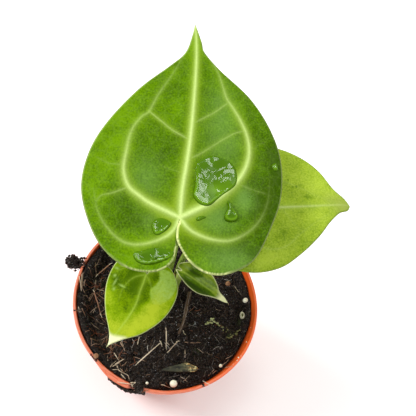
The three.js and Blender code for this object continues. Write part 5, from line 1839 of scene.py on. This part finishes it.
def lip_dirt(rng):
    """Crumbs and threads of the mix that stick to the lip, and specks on its right side."""
    parts = []
    for turn, spread_by, low, high, count in LIP_CRUMBS:
        for _ in range(count):
            here = polar(rng.uniform(low, high), turn + spread_by * rng.normal(), POT["height"] + 0.1)
            points, faces = lump(0.12 + 0.3 * rng.random() ** 2, 9 * rng.random(), 2, 0.5)
            parts.append((points + here, faces, dict(tint=0.1 * rng.random(), moss=0.0, glint=0.0)))
    join("rim_dirt_crumbs", parts, (), MATERIAL["soil"])
    parts = []
    for turn, out, high, size in LIP_SPECKS:
        points, faces = lump(size, turn, 2, 0.4)
        parts.append((points * (1, 1, 0.6) + polar(out, turn, high), faces, dict(hollow=0.0)))
    join("rim_specks", parts, (), MATERIAL["bead"])
    parts = []
    for first, last, size, tint in LIP_THREADS:
        start = polar(*first)
        end = polar(*last)
        line = centripetal([start, (start + end) / 2 + 0.15 * rng.normal(size=3), end], 0.4)
        parts.append((*tube(line, np.linspace(size, 0.6 * size, len(line)), 5), dict(tint=tint)))
    join("rim_threads", parts, (), MATERIAL["straw"])


def litter():
    """Pale green bits of moss that lie on the mix."""
    rng = np.random.default_rng(77)
    parts = []
    for x, y, size, hollow in LITTER:
        for _ in range(4):
            place = np.array([x, y]) + 0.45 * rng.normal(size=2)
            points, faces = lump(size * rng.uniform(0.5, 1.0), 9 * rng.random(), 2, 0.6)
            points = points * (1.3, 0.8, 0.5) + (*place, seat(*place, 0.5) + 0.15)
            parts.append((points, faces, dict(hollow=hollow)))
    join("soil_litter", parts, (), MATERIAL["litter"])


# The plant put together

MATERIAL = dict(
    pot=pot_material(), soil=soil_material(), fibre=fibre_material(), water=water_material(),
    petiole=petiole_material(), stem=stem_material(), sheath=sheath_material(), bark=bark_material(),
    straw=straw_material(), bead=grain_material("fertiliser", "#fdfbe6", "#ece6c4", 0.3),
    litter=grain_material("litter", "#cfd49c", "#a3ab6c", 0.6),
    grit=grain_material("grit", "#a67a58", "#7b5238", 0.7),
)
LEAVES = {
    "large": (large_look, LARGE, dict(speck=2.5)),
    "side": (side_look, SIDE, dict(speck=2.4, cloudy=0.9)),
    "front": (front_look, FRONT, dict(gloss=0.35, speck=1.2, margin=(0.1, 0.4))),
    "young": (young_look, YOUNG, dict(gloss=0.3, speck=1.2, margin=(0.15, 0.6))),
}


def build():
    pot()
    soil()
    loose_crumbs()
    fibres()
    for kind, (look, palette, finish) in LEAVES.items():
        slot = "leaf_" + kind
        blade("blade_" + kind, look, leaf_material(slot, palette, **finish))
    for name, route in PETIOLES.items():
        petiole(name, route)
    stem()
    cataphyll()
    dead_root()
    bark_chip()
    grains()
    straws()
    plain_strands()
    litter()
    water()
    rng = np.random.default_rng(29)
    left_clod(rng)
    front_clod(rng)
    rim_crumb(rng)
    lip_dirt(rng)


# Stage

def camera():
    """The camera, level with the sides of the picture and turned as for the photograph."""
    data = bpy.data.cameras.new("camera")
    data.sensor_width = SENSOR
    data.lens = FOCAL_PIXELS * SENSOR / IMAGE_SIDE
    data.clip_start = 0.01
    piece = bpy.data.objects.new("camera", data)
    bpy.context.scene.collection.objects.link(piece)
    azimuth = math.radians(CAMERA["azimuth"])
    elevation = math.radians(CAMERA["elevation"])
    back = Vector((math.sin(azimuth) * math.cos(elevation), -math.cos(azimuth) * math.cos(elevation),
                   math.sin(elevation)))
    piece.location = (Vector(CAMERA["target"]) + back * CAMERA["distance"]) * MM
    right = (-back).cross(Vector((0, 1, 0))).normalized()
    up = right.cross(-back)
    piece.rotation_mode = "QUATERNION"
    piece.rotation_quaternion = Matrix((right, up, back)).transposed().to_quaternion()
    bpy.context.scene.camera = piece


def area(name, place, aim, size, power):
    """A soft light of a given size at a place in metres."""
    data = bpy.data.lights.new(name, "AREA")
    data.shape = "RECTANGLE"
    data.size = size[0]
    data.size_y = size[1]
    data.energy = power
    light = bpy.data.objects.new(name, data)
    bpy.context.scene.collection.objects.link(light)
    light.location = place
    light.rotation_mode = "QUATERNION"
    light.rotation_quaternion = (Vector(place) - Vector(aim)).to_track_quat("Z", "Y")


def stage():
    """A plain pale floor, an even world and soft studio lights."""
    mesh = bpy.data.meshes.new("floor")
    corners = [(x * FLOOR_HALF, y * FLOOR_HALF, 0) for x, y in ((-1, -1), (1, -1), (1, 1), (-1, 1))]
    mesh.from_pydata(corners, [], [(0, 1, 2, 3)])
    floor = bpy.data.objects.new("floor", mesh)
    bpy.context.scene.collection.objects.link(floor)
    s = Shader("floor")
    s.set(Base_Color=linear("#fafafa"), Roughness=0.9, Specular_IOR_Level=0.1)
    mesh.materials.append(s.material)
    world = bpy.data.worlds.new("studio")
    bpy.context.scene.world = world
    world.use_nodes = True
    world.node_tree.nodes["Background"].inputs[0].default_value = (1, 1, 1, 1)
    world.node_tree.nodes["Background"].inputs[1].default_value = WORLD_LIGHT
    for name, light in LIGHTS.items():
        area(name, *light)
    x, y, z = PANES["centre"]
    dx, dy = PANES["shift"]
    for i, (across, along) in enumerate(((-dx, -dy), (dx, -dy), (-dx, dy), (dx, dy))):
        area(f"pane_{i}", (x + across, y + along, z), PANES["aim"], PANES["size"], PANES["power"])
    bpy.context.scene.view_settings.view_transform = "Standard"


camera()
stage()
build()
